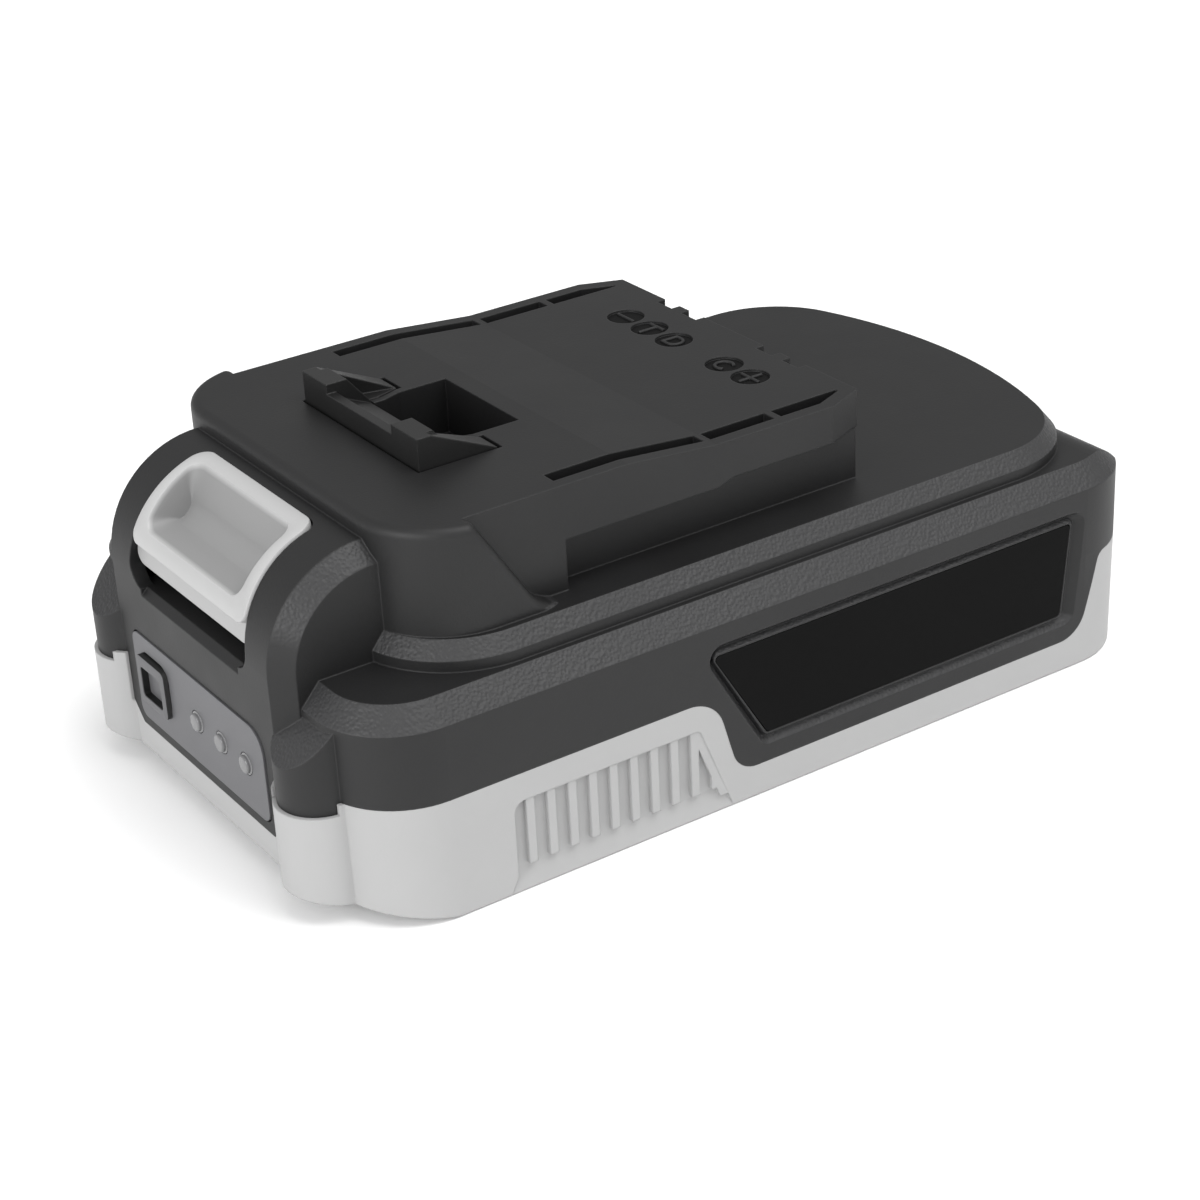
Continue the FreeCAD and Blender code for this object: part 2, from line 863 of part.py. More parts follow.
def pocket_points(start, end, margin):
    """Outline of the pocket behind the hook, grown by margin. It is narrower close to the hook."""
    near = pocket_half_width + margin
    wide = near + pocket_step
    bend = hook_rear + pocket_bend
    full = hook_rear + pocket_step_end
    return [(start, -near), (bend, -near), (full, -wide), (end, -wide), (end, wide), (full, wide),
            (bend, near), (start, near)]


def latch_opening():
    """Opening in the block's roof for the hook, with the pocket behind it."""
    width = hook_half_width + latch_gap
    low = tongue_low - latch_travel - 2
    hole = box(hook_front - latch_gap, leg_end + 2 * latch_gap, -width, width, low, block_top + 1)
    pocket = plan_plate(pocket_points(hook_rear, pocket_rear, 0), block_top - pocket_depth, block_top + 1)
    return hole.fuse(pocket)


def pocket_cup():
    """Floor and walls of the pocket behind the hook."""
    low = block_top - pocket_depth
    cup = plan_plate(pocket_points(hook_rear + latch_gap, pocket_rear + pocket_wall, pocket_wall),
                     low - pocket_wall, block_top)
    return cup.cut(plan_plate(pocket_points(hook_rear, pocket_rear, 0), low, block_top + 1))


def button_form(margin, low, rear, corner):
    """Upright block with the outline of the release button, seen from the front and from above: narrower
    towards the top, with round corners. It is grown by margin."""
    base = skirt_low - latch_travel - travel_spare
    high = hump_top + 1

    def half(z):
        share = (z - base) / (hump_top - base)
        return button_half_low + (button_half_top - button_half_low) * share + margin
    block = front_plate([(-half(low), low, corner), (half(low), low, corner), (half(high), high),
                         (-half(high), high)], hump_front - 2, rear)
    side = half(tongue_low)
    for sign in (-1, 1):
        centre = sign * (side - corner)
        far = sign * (side + 2 * corner)
        waste = box(rear - corner, rear + 1, min(centre, far), max(centre, far), low - 1, high + 1)
        block = block.cut(waste.cut(post(rear - corner, centre, low - 2, high + 2, corner)))
    return block


def button_window():
    """Opening for the release button with a bevelled lower edge, and room below for its travel."""
    low = skirt_low - latch_travel - travel_spare
    opening = button_form(button_gap, low, button_rear + button_gap, button_corner + button_gap)
    half = button_half_low - button_corner
    bevel = side_plate([
        (hump_front - 1, low + 1), (hump_front - 1, low - window_bevel), (hump_front, low - window_bevel),
        (hump_front + window_bevel, low), (hump_front + window_bevel, low + 1),
    ], -half, half)
    return opening.fuse(bevel)


def window_ledge():
    """Shelf inside the lower edge of the button's window."""
    low = skirt_low - latch_travel - travel_spare
    return box(hump_front + window_bevel, hump_front + button_thick + carrier_play - latch_gap,
               -button_half_low, button_half_low, low - window_shelf, low)


def status_points(grow):
    """Corners of the status panel as (y, z, radius), grown by a margin."""
    half = status_half_width + grow
    low = status_low - grow
    high = status_high + grow
    small = status_corner
    return [(-half, low, small), (half, low, small), (half, high, small), (-half, high, status_big_corner)]


def key_points(margin):
    """Corners of the check key as (y, z, radius), grown by a margin."""
    half_w = key_width / 2 + margin
    half_h = key_height / 2 + margin
    turn = key_corner + margin
    return [(key_y - half_w, key_z - half_h, turn), (key_y + half_w, key_z - half_h, turn),
            (key_y + half_w, key_z + half_h, turn), (key_y - half_w, key_z + half_h, turn)]


def upper_shell(hollow, tool):
    shell = hollow.cut(tool)
    columns = [post(x, y, boss_split, ledge_z - wall + 0.5, boss_high_radius) for x, y in boss_places()]
    shell = joined([shell] + columns)
    for x, y in boss_places():
        shell = shell.cut(post(x, y, boss_split - 1, ledge_z - wall - 1, screw_radius + screw_fit))
    shell = shell.cut(latch_opening())
    shell = shell.fuse(pocket_cup())
    shell = shell.cut(button_window()).fuse(window_ledge())
    for cut in contact_slots() + rail_cores():
        shell = shell.cut(cut)
    for side in (-1, 1):
        shell = shell.cut(panel_bed(side))
    shell = shell.cut(front_plate(status_points(status_seam), hump_front - 1, hump_front + status_recess))
    inner = hump_front + hump_wall + 0.1
    for y in light_y:
        shell = shell.cut(rod(hump_front, inner, y, light_z, light_radius + light_fit))
    shell = shell.cut(front_plate(key_points(latch_gap), hump_front, inner))
    return shell.removeSplitter()


def release_button():
    """Curved thumb button: a lip round a soft scoop, standing a little proud of the skirt below it."""
    wide = button_half_low + over
    lip_low = hump_top - button_lip
    slab = hump_slab(0, wide, skirt_low).cut(hump_slab(button_thick, wide + 1, skirt_low - 1))
    slab = slab.common(button_form(0, skirt_low, button_rear, button_corner))
    skin = hump_slab(-1, wide + 1, skirt_low - 1).cut(hump_slab(button_lip_rise, wide + 2, skirt_low - 2))
    slab = slab.cut(skin.cut(button_form(0, lip_low, button_rear + 1, button_corner)))
    return slab.cut(thumb_scoop(wide, lip_low + button_rim)).removeSplitter()


def thumb_scoop(wide, low):
    """Hollow of the thumb button with a soft edge round its floor."""
    scoop = hump_slab(-1, wide, low).cut(hump_slab(button_scoop, wide + 1, low - 1))
    scoop = scoop.common(button_form(-button_rim, low, button_rear - button_rim, button_scoop_corner))
    soft = []
    for edge in scoop.Edges:
        middle = edge.valueAt((edge.FirstParameter + edge.LastParameter) / 2)
        depth = hump_radius - math.hypot(middle.x - hump_centre_x, middle.z - hump_centre_z)
        if abs(depth - button_scoop) < 0.05:
            soft.append(edge)
    return scoop.makeFillet(button_scoop_round, soft)


def button_carrier():
    """Curved plate behind the release button, which closes the window below it."""
    wide = button_half_low + over
    low = skirt_low - latch_travel - travel_spare - carrier_drop
    near = button_thick + carrier_play
    plate = hump_slab(near, wide, low).cut(hump_slab(near + carrier_thick, wide + 1, low - 1))
    return plate.common(button_form(0, low, button_rear + 1, button_corner))


def latch_hook():
    """Hook with two lugs and sloping legs, on the tongue and the plate that carry the release button."""
    tongue = box(button_rear, hook_front + 1, -tongue_half_width, tongue_half_width, tongue_low, tongue_top)
    base = box(hook_front, hook_rear, -hook_half_width, hook_half_width, tongue_low, block_top)
    foot = block_top - 1
    ridge_top = block_top + hook_ridge_height
    step = hook_front + hook_ridge
    ridge = side_plate([
        (hook_front, foot), (hook_front, ridge_top), (step, ridge_top),
        (step + hook_ridge_step / 2, ridge_top - hook_ridge_step), (hook_rear, block_top), (hook_rear, foot),
    ], -hook_lug_inner, hook_lug_inner)
    pieces = [tongue, base, ridge, button_carrier()]
    for side in (-1, 1):
        pieces += hook_side(side)
    return joined(pieces)


def hook_side(side):
    """Lug, fin and leg at one end of the hook. The fin gets wider down its slope."""
    foot = block_top - 1
    lug_top = block_top + hook_lug_height
    inner = side * hook_lug_inner
    outer = side * hook_half_width
    fin_front = hook_front + hook_fin_start
    fin_inner = side * (hook_half_width - hook_wedge)
    tip_inner = side * hook_leg_tip_inner
    lug = side_plate([
        (hook_front, foot), (hook_front, lug_top), (hook_front + hook_lug_length, lug_top),
        (hook_rear, block_top + latch_gap), (hook_rear, foot),
    ], min(inner, fin_inner), max(inner, fin_inner))
    slope = side_plate([
        (hook_front, foot), (hook_front, lug_top), (fin_front, lug_top), (leg_end, block_top), (leg_end, foot),
    ], min(0, outer), max(0, outer))
    fin = plan_plate([(hook_front, fin_inner), (fin_front, fin_inner), (leg_end, tip_inner), (leg_end, outer),
                      (hook_front, outer)], foot, lug_top)
    leg_inner = side * hook_leg_inner
    leg = plan_plate([(hook_rear - 1, leg_inner), (hook_rear + hook_leg_bend, leg_inner), (leg_end, tip_inner),
                      (leg_end, outer), (hook_rear - 1, outer)], tongue_low, block_top)
    return [lug, fin.common(slope), leg]


def latch_spring(side):
    """Sleeve of the size of the coiled spring between the cell holder and the hook's tongue."""
    x = (hook_front + hook_rear) / 2
    y = side * spring_y
    low = holder_top + spring_play
    high = tongue_low - spring_play
    coil = post(x, y, low, high, spring_radius + spring_wire / 2)
    return coil.cut(post(x, y, low - 1, high + 1, spring_radius - spring_wire / 2))


def cell(index):
    """Round cell lying across the pack, with its raised positive cap at one end."""
    x = row_start + cell_diameter / 2 + index * cell_pitch
    half = cell_length / 2
    can = cross_rod(x, -half, half - cell_cap_height, cell_z, cell_diameter / 2)
    cap = cross_rod(x, half - cell_cap_height - 1, half, cell_z, cell_cap_diameter / 2)
    body = joined([can, cap])
    return body if index % 2 else mirrored(body)


def cell_holder(side):
    """End frame that carries the five cells, with windows for the strips and a seat for one latch spring."""
    front = row_start - holder_margin
    rear = row_start + row_length + holder_margin
    y0 = side * holder_inner_y
    y1 = side * strip_y
    frame = box(front, rear, min(y0, y1), max(y0, y1), floor, holder_top)
    seat_x = (hook_front + hook_rear) / 2
    seat_y = side * spring_y
    seat_end = seat_y - side * spring_seat
    seat = box(seat_x - spring_seat, seat_x + spring_seat, min(seat_end, y0 + side), max(seat_end, y0 + side),
               cell_top + cell_fit, holder_top)
    peg_radius = spring_radius - spring_wire / 2 - peg_fit
    peg = post(seat_x, seat_y, holder_top - 0.5, holder_top + spring_peg, peg_radius)
    frame = joined([frame, seat, peg])
    half = cell_length / 2
    for index in range(cell_count):
        x = row_start + cell_diameter / 2 + index * cell_pitch
        frame = frame.cut(cross_rod(x, -half, half, cell_z, cell_diameter / 2 + cell_fit))
        frame = frame.cut(box(x - holder_window, x + holder_window, -half - 3, half + 3, cell_z - holder_window,
                              cell_z + holder_window))
    for x, y in board_screw_places():
        frame = frame.cut(post(x, y, holder_top - small_screw_length - 0.5, holder_top + 3,
                               small_screw_radius + screw_fit))
    return frame.removeSplitter()


def board_screw_places():
    """Two small screws that hold the control board to the holders, over the valley between two cells."""
    x = row_start + cell_diameter + cell_gap / 2 + cell_pitch
    y = (holder_inner_y + board_half_width) / 2
    return [(x, -y), (x, y)]


def strip_groups():
    """Cells joined by each strip, with the side that the strip lies on."""
    groups = [([0], 1)]
    for index in range(cell_count - 1):
        side = -1 if index % 2 == 0 else 1
        groups.append(([index, index + 1], side))
    last_side = -1 if cell_count % 2 == 0 else 1
    groups.append(([cell_count - 1], -last_side))
    return groups


def nickel_strip(cells, side):
    """Welded strip on the cell ends, with a tab up to the control board."""
    centres = [row_start + cell_diameter / 2 + i * cell_pitch for i in cells]
    y0 = side * strip_y
    y1 = side * (strip_y + strip_thick)
    low, high = min(y0, y1), max(y0, y1)
    half = strip_width / 2
    pieces = [box(min(centres) - strip_grip, max(centres) + strip_grip, low, high, cell_z - half, cell_z + half)]
    dish_y = side * cell_length / 2
    for x in centres:
        pieces.append(cross_rod(x, min(dish_y, y1), max(dish_y, y1), cell_z, strip_foot))
    tab_x = min(max(centres[0], board_front + tab_width), board_rear - tab_width)
    left = tab_x - tab_width / 2
    right = tab_x + tab_width / 2
    inner = side * (board_half_width - 2)
    pieces.append(box(min(left, min(centres)), max(right, max(centres)), low, high, cell_z, cell_z + half + 2))
    pieces.append(box(left, right, low, high, cell_z, board_top + strip_thick))
    pieces.append(box(left, right, min(inner, y1), max(inner, y1), board_top, board_top + strip_thick))
    return joined(pieces)


def insulating_sheet(side):
    y0 = side * (strip_y + strip_thick + sheet_gap)
    y1 = y0 + side * sheet_thick
    front = row_start - holder_margin + 1
    rear = row_start + row_length + holder_margin - 1
    return box(front, rear, min(y0, y1), max(y0, y1), floor + 0.5, holder_top - 1)


def control_board():
    board = box(board_front, board_rear, -board_half_width, board_half_width, board_z, board_top)
    for x, y in board_screw_places():
        board = board.cut(post(x, y, board_z - 1, board_top + 1, small_screw_radius + screw_fit))
    return board


def board_screws():
    screws = []
    for x, y in board_screw_places():
        shank = post(x, y, board_top - board_thick - small_screw_length, board_top + small_head_height / 2,
                     small_screw_radius)
        head = post(x, y, board_top, board_top + small_head_height, small_head_radius)
        screws.append(joined([shank, head]))
    return Part.makeCompound(screws)


def terminal_block():
    """Moulded carrier that stands on the board and holds the spring contacts upright."""
    reach = abs(contact_places["plus"]) * contact_pitch + contact_pitch / 2
    rear = carrier_rear
    front = rear - contact_length - carrier_back
    low = rail_low_z - slot_low
    body = box(front, rear, -reach, reach, board_top, low)
    for place in contact_places.values():
        y = place * contact_pitch
        half = contact_throat / 2 + contact_leaf
        body = body.cut(box(rear - contact_length, rear + 1, y - half, y + half, low - contact_seat, low + 1))
    return body


def spring_contact(place):
    """Forked contact: two leaves that grip a blade, on a foot in the terminal block."""
    y = place * contact_pitch
    rear = carrier_rear - contact_gap
    front = carrier_rear - contact_length
    low = rail_low_z - slot_low - contact_seat
    inner = contact_throat / 2
    outer = inner + contact_leaf
    foot = box(front, rear, y - outer, y + outer, low, low + 1)
    pieces = [foot]
    for side in (-1, 1):
        leaf = plan_plate([
            (front, y + side * inner), (rear - 3, y + side * inner), (rear, y + side * (inner + 0.6 * contact_leaf)),
            (rear, y + side * outer), (front, y + side * outer),
        ], low + 0.5, rail_top - roof - contact_gap)
        pieces.append(leaf)
    return joined(pieces)


def power_transistors():
    """Two flat power transistors on the control board."""
    cans = []
    far = transistor_y - transistor_width
    for step in (0, 1):
        x = board_front + transistor_inset + step * transistor_pitch
        body = box(x, x + transistor_length, far, transistor_y, board_top, board_top + transistor_height)
        tab = box(x + transistor_tab / 2, x + transistor_length - transistor_tab / 2, far - transistor_tab, far + 1,
                  board_top, board_top + transistor_tab_height)
        cans.append(joined([body, tab]))
    return Part.makeCompound(cans)


def control_chip():
    """Control chip with a row of pins on two sides."""
    x = board_front + chip_inset
    body = box(x, x + chip_size, chip_y, chip_y + chip_size, board_top + pin_width / 4, board_top + chip_height)
    pins = []
    pitch = chip_size / pin_count
    for i in range(pin_count):
        step = x + (i + 0.5) * pitch - pin_width / 2
        pins.append(box(step, step + pin_width, chip_y - pin_reach, chip_y + chip_size + pin_reach, board_top,
                        board_top + pin_width))
    return joined([body] + pins)


def thermistor():
    """Bead between the third and fourth cell, with two leads up to the control board."""
    x = row_start + 3 * cell_pitch - cell_gap / 2
    z = cell_z + thermistor_rise
    bead = cross_rod(x, -thermistor_length / 2, thermistor_length / 2, z, thermistor_radius)
    leads = [post(x, y, z, board_z, lead_radius) for y in (-lead_spread, lead_spread)]
    return joined([bead] + leads)


def status_panel():
    """Lighter face plate with holes for the lights and the check key."""
    face = hump_front + status_recess - status_thick
    plate = front_plate(status_points(0), face, hump_front + status_recess)
    for y in light_y:
        plate = plate.cut(rod(face - 1, face + status_thick + 1, y, light_z, light_radius + light_fit))
    return plate.cut(front_plate(key_points(key_ring), face - 1, face + status_thick + 1))


def check_button():
    """Small key for the charge check, with a dished face, kept in by a flange behind the wall."""
    front = hump_front + status_recess - status_thick
    seat = hump_front + hump_wall + latch_gap
    half_w = key_width / 2 + key_flange
    half_h = key_height / 2 + key_flange
    cap = front_plate(key_points(0), front, seat + key_flange_thick)
    flange = box(seat, seat + key_flange_thick, key_y - half_w, key_y + half_w, key_z - half_h, key_z + half_h)
    dish = front_plate(key_points(-key_rim), front - 1, front + key_dish)
    return joined([cap, flange]).cut(dish)


def light_guide():
    """Clear strip with three domed light pipes."""
    wall_x = hump_front + hump_wall
    bar = box(wall_x, wall_x + guide_thick - led_gap / 2, min(light_y) - guide_reach, max(light_y) + guide_reach,
              light_z - guide_half_height, light_z + guide_half_height)
    pieces = [bar]
    face = hump_front + status_recess - status_thick
    rise = light_dome
    ball = (light_radius ** 2 + rise ** 2) / (2 * rise)
    for y in light_y:
        pieces.append(rod(face, wall_x + guide_thick / 4, y, light_z, light_radius))
        dome = Part.makeSphere(ball, vec(face + ball - rise, y, light_z))
        pieces.append(dome.common(rod(face - 2 * rise, face + rise, y, light_z, light_radius)))
    return joined(pieces)


def status_board():
    return box(status_board_x, status_board_x + status_board_thick, -status_half_width + 1, status_half_width - 1,
               status_low + 0.8, status_high - 0.8)


def status_leds():
    leds = []
    half = led_size / 2
    for y in light_y:
        leds.append(box(status_board_x - led_thick, status_board_x, y - half, y + half, light_z - half,
                        light_z + half))
    return Part.makeCompound(leds)


def check_switch():
    """Push switch on the status board, behind the check button."""
    half = switch_size / 2
    reach = hump_front + hump_wall + latch_gap + key_flange_thick + key_travel + 0.1
    body = box(reach + 0.2, status_board_x, key_y - half, key_y + half, key_z - half, key_z + half)
    plunger = rod(reach, status_board_x, key_y, key_z, 1.2)
    return joined([body, plunger])


def status_ribbon():
    """Flat cable from the status board to the control board."""
    half = ribbon_half_width
    back = status_board_x + status_board_thick
    high = board_top + ribbon_thick
    drop = box(back, back + ribbon_thick, -half, half, (status_low + status_high) / 2, high)
    run = box(back, board_front + ribbon_lap, -half, half, board_top, high)
    return joined([drop, run])


def housing_screws():
    """Four self-tapping screws with a hexagonal recess, driven from below."""
    screws = []
    for x, y in boss_places():
        seat = seat_level(x)
        low = seat - screw_head_height
        head = post(x, y, low, seat, screw_head_radius)
        shank = post(x, y, seat - 0.5, seat + screw_length, screw_radius)
        corners = []
        for i in range(6):
            turn = i * math.pi / 3
            reach = hex_across / math.sqrt(3)
            corners.append((x + reach * math.cos(turn), y + reach * math.sin(turn)))
        screws.append(joined([head, shank]).cut(plan_plate(corners, low - 1, low + hex_depth)))
    return Part.makeCompound(screws)


def build():
    """Every piece of the pack under its node name."""
    base = base_form()
    space = inside()
    tool = parting_tool()
    pieces = {
        "lower_shell": lower_shell(with_posts(base, 0).cut(space), tool),
        "upper_shell": upper_shell(with_posts(base, post_step).cut(space), tool),
        "release_button": release_button(),
        "latch_hook": latch_hook(),
        "status_panel": status_panel(),
        "check_button": check_button(),
        "light_guide": light_guide(),
        "status_board": status_board(),
        "status_leds": status_leds(),
        "check_switch": check_switch(),
        "status_ribbon": status_ribbon(),
        "control_board": control_board(),
        "board_screws": board_screws(),
        "control_chip": control_chip(),
        "power_transistors": power_transistors(),
        "terminal_block": terminal_block(),
        "thermistor": thermistor(),
        "housing_screws": housing_screws(),
    }
    for side, word in ((-1, "right"), (1, "left")):
        pieces["side_panel_" + word] = side_panel(side)
        pieces["cell_holder_" + word] = cell_holder(side)
        pieces["insulating_sheet_" + word] = insulating_sheet(side)
        pieces["latch_spring_" + word] = latch_spring(side)
    for name, place in contact_places.items():
        pieces["contact_" + name] = spring_contact(place)
    for index in range(cell_count):
        pieces["cell_" + str(index + 1)] = cell(index)
    for index, (cells, side) in enumerate(strip_groups()):
        pieces["nickel_strip_" + str(index + 1)] = nickel_strip(cells, side)
    return pieces


for node, shape in build().items():
    shape.exportStep("parts/" + node + ".step")
    box_size = shape.BoundBox
    print(node, len(shape.Solids), shape.isValid(), round(shape.Volume, 1),
          [round(v, 1) for v in (box_size.XMin, box_size.XMax, box_size.YMin, box_size.YMax,
                                 box_size.ZMin, box_size.ZMax)])
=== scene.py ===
# %% [markdown]
# # A slide-on battery pack for cordless tools
#
# The pack comes in as finished solids: two shells, a release button with its hook, panels, cells and
# boards, all in metres and all in their places. This lesson gives them the plastics and metals of the
# real pack, shapes the button, the key, the light caps, the marks and the springs more fully, and sets
# up the studio.

import math

import bpy
import numpy as np
from mathutils import Matrix, Vector


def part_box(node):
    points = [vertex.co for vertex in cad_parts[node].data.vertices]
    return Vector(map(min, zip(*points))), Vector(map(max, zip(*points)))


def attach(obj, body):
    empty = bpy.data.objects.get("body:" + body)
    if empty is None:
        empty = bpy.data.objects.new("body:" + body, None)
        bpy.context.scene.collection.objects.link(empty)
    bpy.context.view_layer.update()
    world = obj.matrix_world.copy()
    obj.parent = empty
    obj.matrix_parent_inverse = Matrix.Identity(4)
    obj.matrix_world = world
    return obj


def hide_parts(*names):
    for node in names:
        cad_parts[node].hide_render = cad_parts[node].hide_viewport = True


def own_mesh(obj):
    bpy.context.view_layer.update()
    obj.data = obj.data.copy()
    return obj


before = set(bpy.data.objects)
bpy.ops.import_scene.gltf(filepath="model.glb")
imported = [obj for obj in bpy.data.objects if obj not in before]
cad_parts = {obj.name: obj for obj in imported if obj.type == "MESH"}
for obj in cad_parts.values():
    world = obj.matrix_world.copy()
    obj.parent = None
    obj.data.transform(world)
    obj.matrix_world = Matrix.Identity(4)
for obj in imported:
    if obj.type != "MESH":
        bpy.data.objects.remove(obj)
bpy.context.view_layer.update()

# %% [markdown]
# ## The camera
#
# The photograph was taken with a long lens from the front left, a little above the pack. A lens can be
# set by trial, but the pack's straight edges meet in vanishing points, and these fix the lens, the
# viewing angle and the slight roll by calculation. The numbers here come from that.

# %% Place the camera
MM = 0.001


def camera_axes(azimuth, elevation, roll):
    """Right, up and backward directions of a camera: backward points from the pack to the camera,
    right is level, and both right and up are then turned by the roll about backward."""
    a, e, r = np.radians([azimuth, elevation, roll])
    back = np.array([math.sin(a) * math.cos(e), -math.cos(a) * math.cos(e), math.sin(e)])
    level = np.array([math.cos(a), math.sin(a), 0.0])
    upright = np.cross(back, level)
    return level * math.cos(r) + upright * math.sin(r), upright * math.cos(r) - level * math.sin(r), back


right, up, back = camera_axes(-32.84, 27.18, -3.11)
camera_data = bpy.data.cameras.new("studio_camera")
camera = bpy.data.objects.new("studio_camera", camera_data)
bpy.context.scene.collection.objects.link(camera)
camera_data.sensor_width = 36.0
camera_data.lens = 80.96
camera_data.clip_start = 0.01
camera_data.clip_end = 20.0
place = Matrix(np.column_stack([right, up, back]).tolist()).to_4x4()
place.translation = Vector((-179.41, -275.76, 181.01)) * MM
camera.matrix_world = place
bpy.context.scene.camera = camera

# %% [markdown]
# ## Colours and nodes
#
# Colours are given as sRGB hex values, but Blender calculates with linear light, so one
# function converts them. Another adds a shader node with its settings and links. The rest are short
# forms of what nearly every material does: start, mix, follow a value, measure, and end in a shader.

# %% Write colours and nodes


def colour(hex_text):
    """sRGB hex to the linear colour that Blender works with: each channel is divided by 12.92 in the
    darkest part, and otherwise shifted by 0.055, divided by 1.055 and raised to the power of 2.4."""
    channels = np.array([int(hex_text[i:i + 2], 16) for i in (0, 2, 4)]) / 255
    linear = np.where(channels <= 0.04045, channels / 12.92, ((channels + 0.055) / 1.055) ** 2.4)
    return (*linear.tolist(), 1.0)


def add(tree, kind, inputs=(), **settings):
    """Adds one node, sets its properties, and sets or links its inputs."""
    node = tree.nodes.new("ShaderNode" + kind)
    for name, value in settings.items():
        setattr(node, name, value)
    for key, value in dict(inputs).items():
        if isinstance(value, bpy.types.NodeSocket):
            tree.links.new(value, node.inputs[key])
        else:
            node.inputs[key].default_value = value
    return node


def blank_material(name):
    """New material with its tree emptied, and its object coordinates in metres."""
    material = bpy.data.materials.new(name)
    material.use_nodes = True
    tree = material.node_tree
    tree.nodes.clear()
    return material, tree, add(tree, "TexCoord").outputs["Object"]


def shade(tree, **sockets):
    """Principled shader with the named sockets, joined to the output: underscores stand for spaces."""
    inputs = {key.replace("_", " "): value for key, value in sockets.items()}
    add(tree, "OutputMaterial", {"Surface": add(tree, "BsdfPrincipled", inputs).outputs[0]})


def blend(tree, share, first, second):
    """Mixes two colours, given as linked sockets or hex values, by a share from 0 to 1. The colours'
    own sockets on a Mix node are 6 and 7, and 2 for the result."""
    a, b = (colour(value) if isinstance(value, str) else value for value in (first, second))
    return add(tree, "Mix", {0: share, 6: a, 7: b}, data_type="RGBA").outputs[2]


def noise(tree, where, scale, detail):
    """Noise around one half, whose spots are one over scale in metres, with detail finer layers."""
    return add(tree, "TexNoise", {"Vector": where, "Scale": scale, "Detail": detail}).outputs[0]


def ramp(tree, value, low, high, start=0.0, end=1.0):
    """Straight-line change from start to end while value goes from low to high, held level outside."""
    return add(tree, "MapRange", {"Value": value, "From Min": low, "From Max": high, "To Min": start,
                                  "To Max": end}).outputs[0]


def math_node(tree, operation, a, b=0.0):
    """One arithmetic step."""
    return add(tree, "Math", {0: a, 1: b}, operation=operation).outputs[0]


def product(tree, *values):
    """All values multiplied."""
    result = values[0]
    for value in values[1:]:
        result = math_node(tree, "MULTIPLY", result, value)
    return result


def axis_distance(tree, across, above):
    """Distance from an axis: the length of the vector of two coordinates at right angles to it."""
    plane = add(tree, "CombineXYZ", {0: across, 1: above}).outputs[0]
    return add(tree, "VectorMath", {0: plane}, operation="LENGTH").outputs["Value"]


def facing(tree, axis):
    """One part of the face's own direction: X, Y or Z, from -1 to 1."""
    return add(tree, "SeparateXYZ", {0: add(tree, "TexCoord").outputs["Normal"]}).outputs[axis]


def rounded_bump(tree, height, depth_mm, edge_mm):
    """Normal of a bump pattern on a surface whose edges are shaded as if rounded by edge_mm."""
    edge = add(tree, "Bevel", {"Radius": edge_mm * MM}, samples=6).outputs[0]
    return add(tree, "Bump", {"Height": height, "Distance": depth_mm * MM, "Normal": edge}).outputs[0]


print("node helpers ready")

# %% [markdown]
# ## Points and faces
#
# A new piece is an array of points, worked out as a whole, and a list of faces over it. Most shapes
# here are rows of points that close on themselves, so one function joins such rows by bands of faces
# and another closes the ends.

# %% Join points into pieces


def mesh_piece(name, points, faces, material):
    """New object at the origin from an array of points, in metres, and faces. The sum of the points'
    triple products, face by face, is six times the volume, so a negative sum means that the faces are
    inside out, and they are turned."""
    points = np.asarray(points, float)
    signed = 0.0
    for face in faces:
        corners = points[list(face)]
        spread = np.cross(corners[1:-1], corners[2:])
        signed += np.einsum("ij,j->", spread, corners[0])
    if signed < 0:
        faces = [tuple(reversed(face)) for face in faces]
    mesh = bpy.data.meshes.new(name)
    mesh.from_pydata(points.tolist(), [], [list(face) for face in faces])
    mesh.materials.append(material)
    piece = bpy.data.objects.new(name, mesh)
    bpy.context.scene.collection.objects.link(piece)
    return piece


def smooth(piece):
    """Rounded shading, except across edges that turn by more than 35 degrees."""
    piece.data.polygons.foreach_set("use_smooth", [True] * len(piece.data.polygons))
    piece.data.set_sharp_from_angle(angle=math.radians(35))
    return piece


def bands(rows, count, closed=False):
    """Faces between neighbouring rows of count points, each row closed on itself. If closed, the last
    row is joined to the first as well."""
    return [(r * count + i, r * count + (i + 1) % count,
             (r + 1) % rows * count + (i + 1) % count, (r + 1) % rows * count + i)
            for r in range(rows if closed else rows - 1) for i in range(count)]


def ends(rows, count):
    """One flat face over the first row and one over the last."""
    return [tuple(reversed(range(count))), tuple(range((rows - 1) * count, rows * count))]


def joined(blocks):
    """Several blocks of (points, faces) as one: a block's faces count on from the points before it."""
    points, faces, start = [], [], 0
    for block, cells in blocks:
        points.append(block)
        faces += [tuple(start + k for k in cell) for cell in cells]
        start += len(block)
    return np.vstack(points), faces


def turned(profile, count):
    """Profile of (radius, along) turned about its axis: points (along, across, up) on circles, each
    circle joined to the next by a band, and one flat face on the first and the last circle."""
    turn = 2 * math.pi * np.arange(count) / count
    profile = np.asarray(profile, float)
    rows = len(profile)
    radius, along = profile[:, :1], np.broadcast_to(profile[:, 1:], (rows, count))
    points = np.stack([along, radius * np.cos(turn), radius * np.sin(turn)], axis=-1).reshape(-1, 3)
    return points, bands(rows, count) + ends(rows, count)


print("mesh helpers ready")

# %% [markdown]
# ## Floor and light
#
# A product photograph on white needs a floor that is almost white and soft light from all round. The
# pack's top is darker than its sides in the photograph, so the light comes mostly from the front and
# the left and less from behind, where the top's shine would show it.

# %% Lay the floor
FLOOR_HALF = 6.0


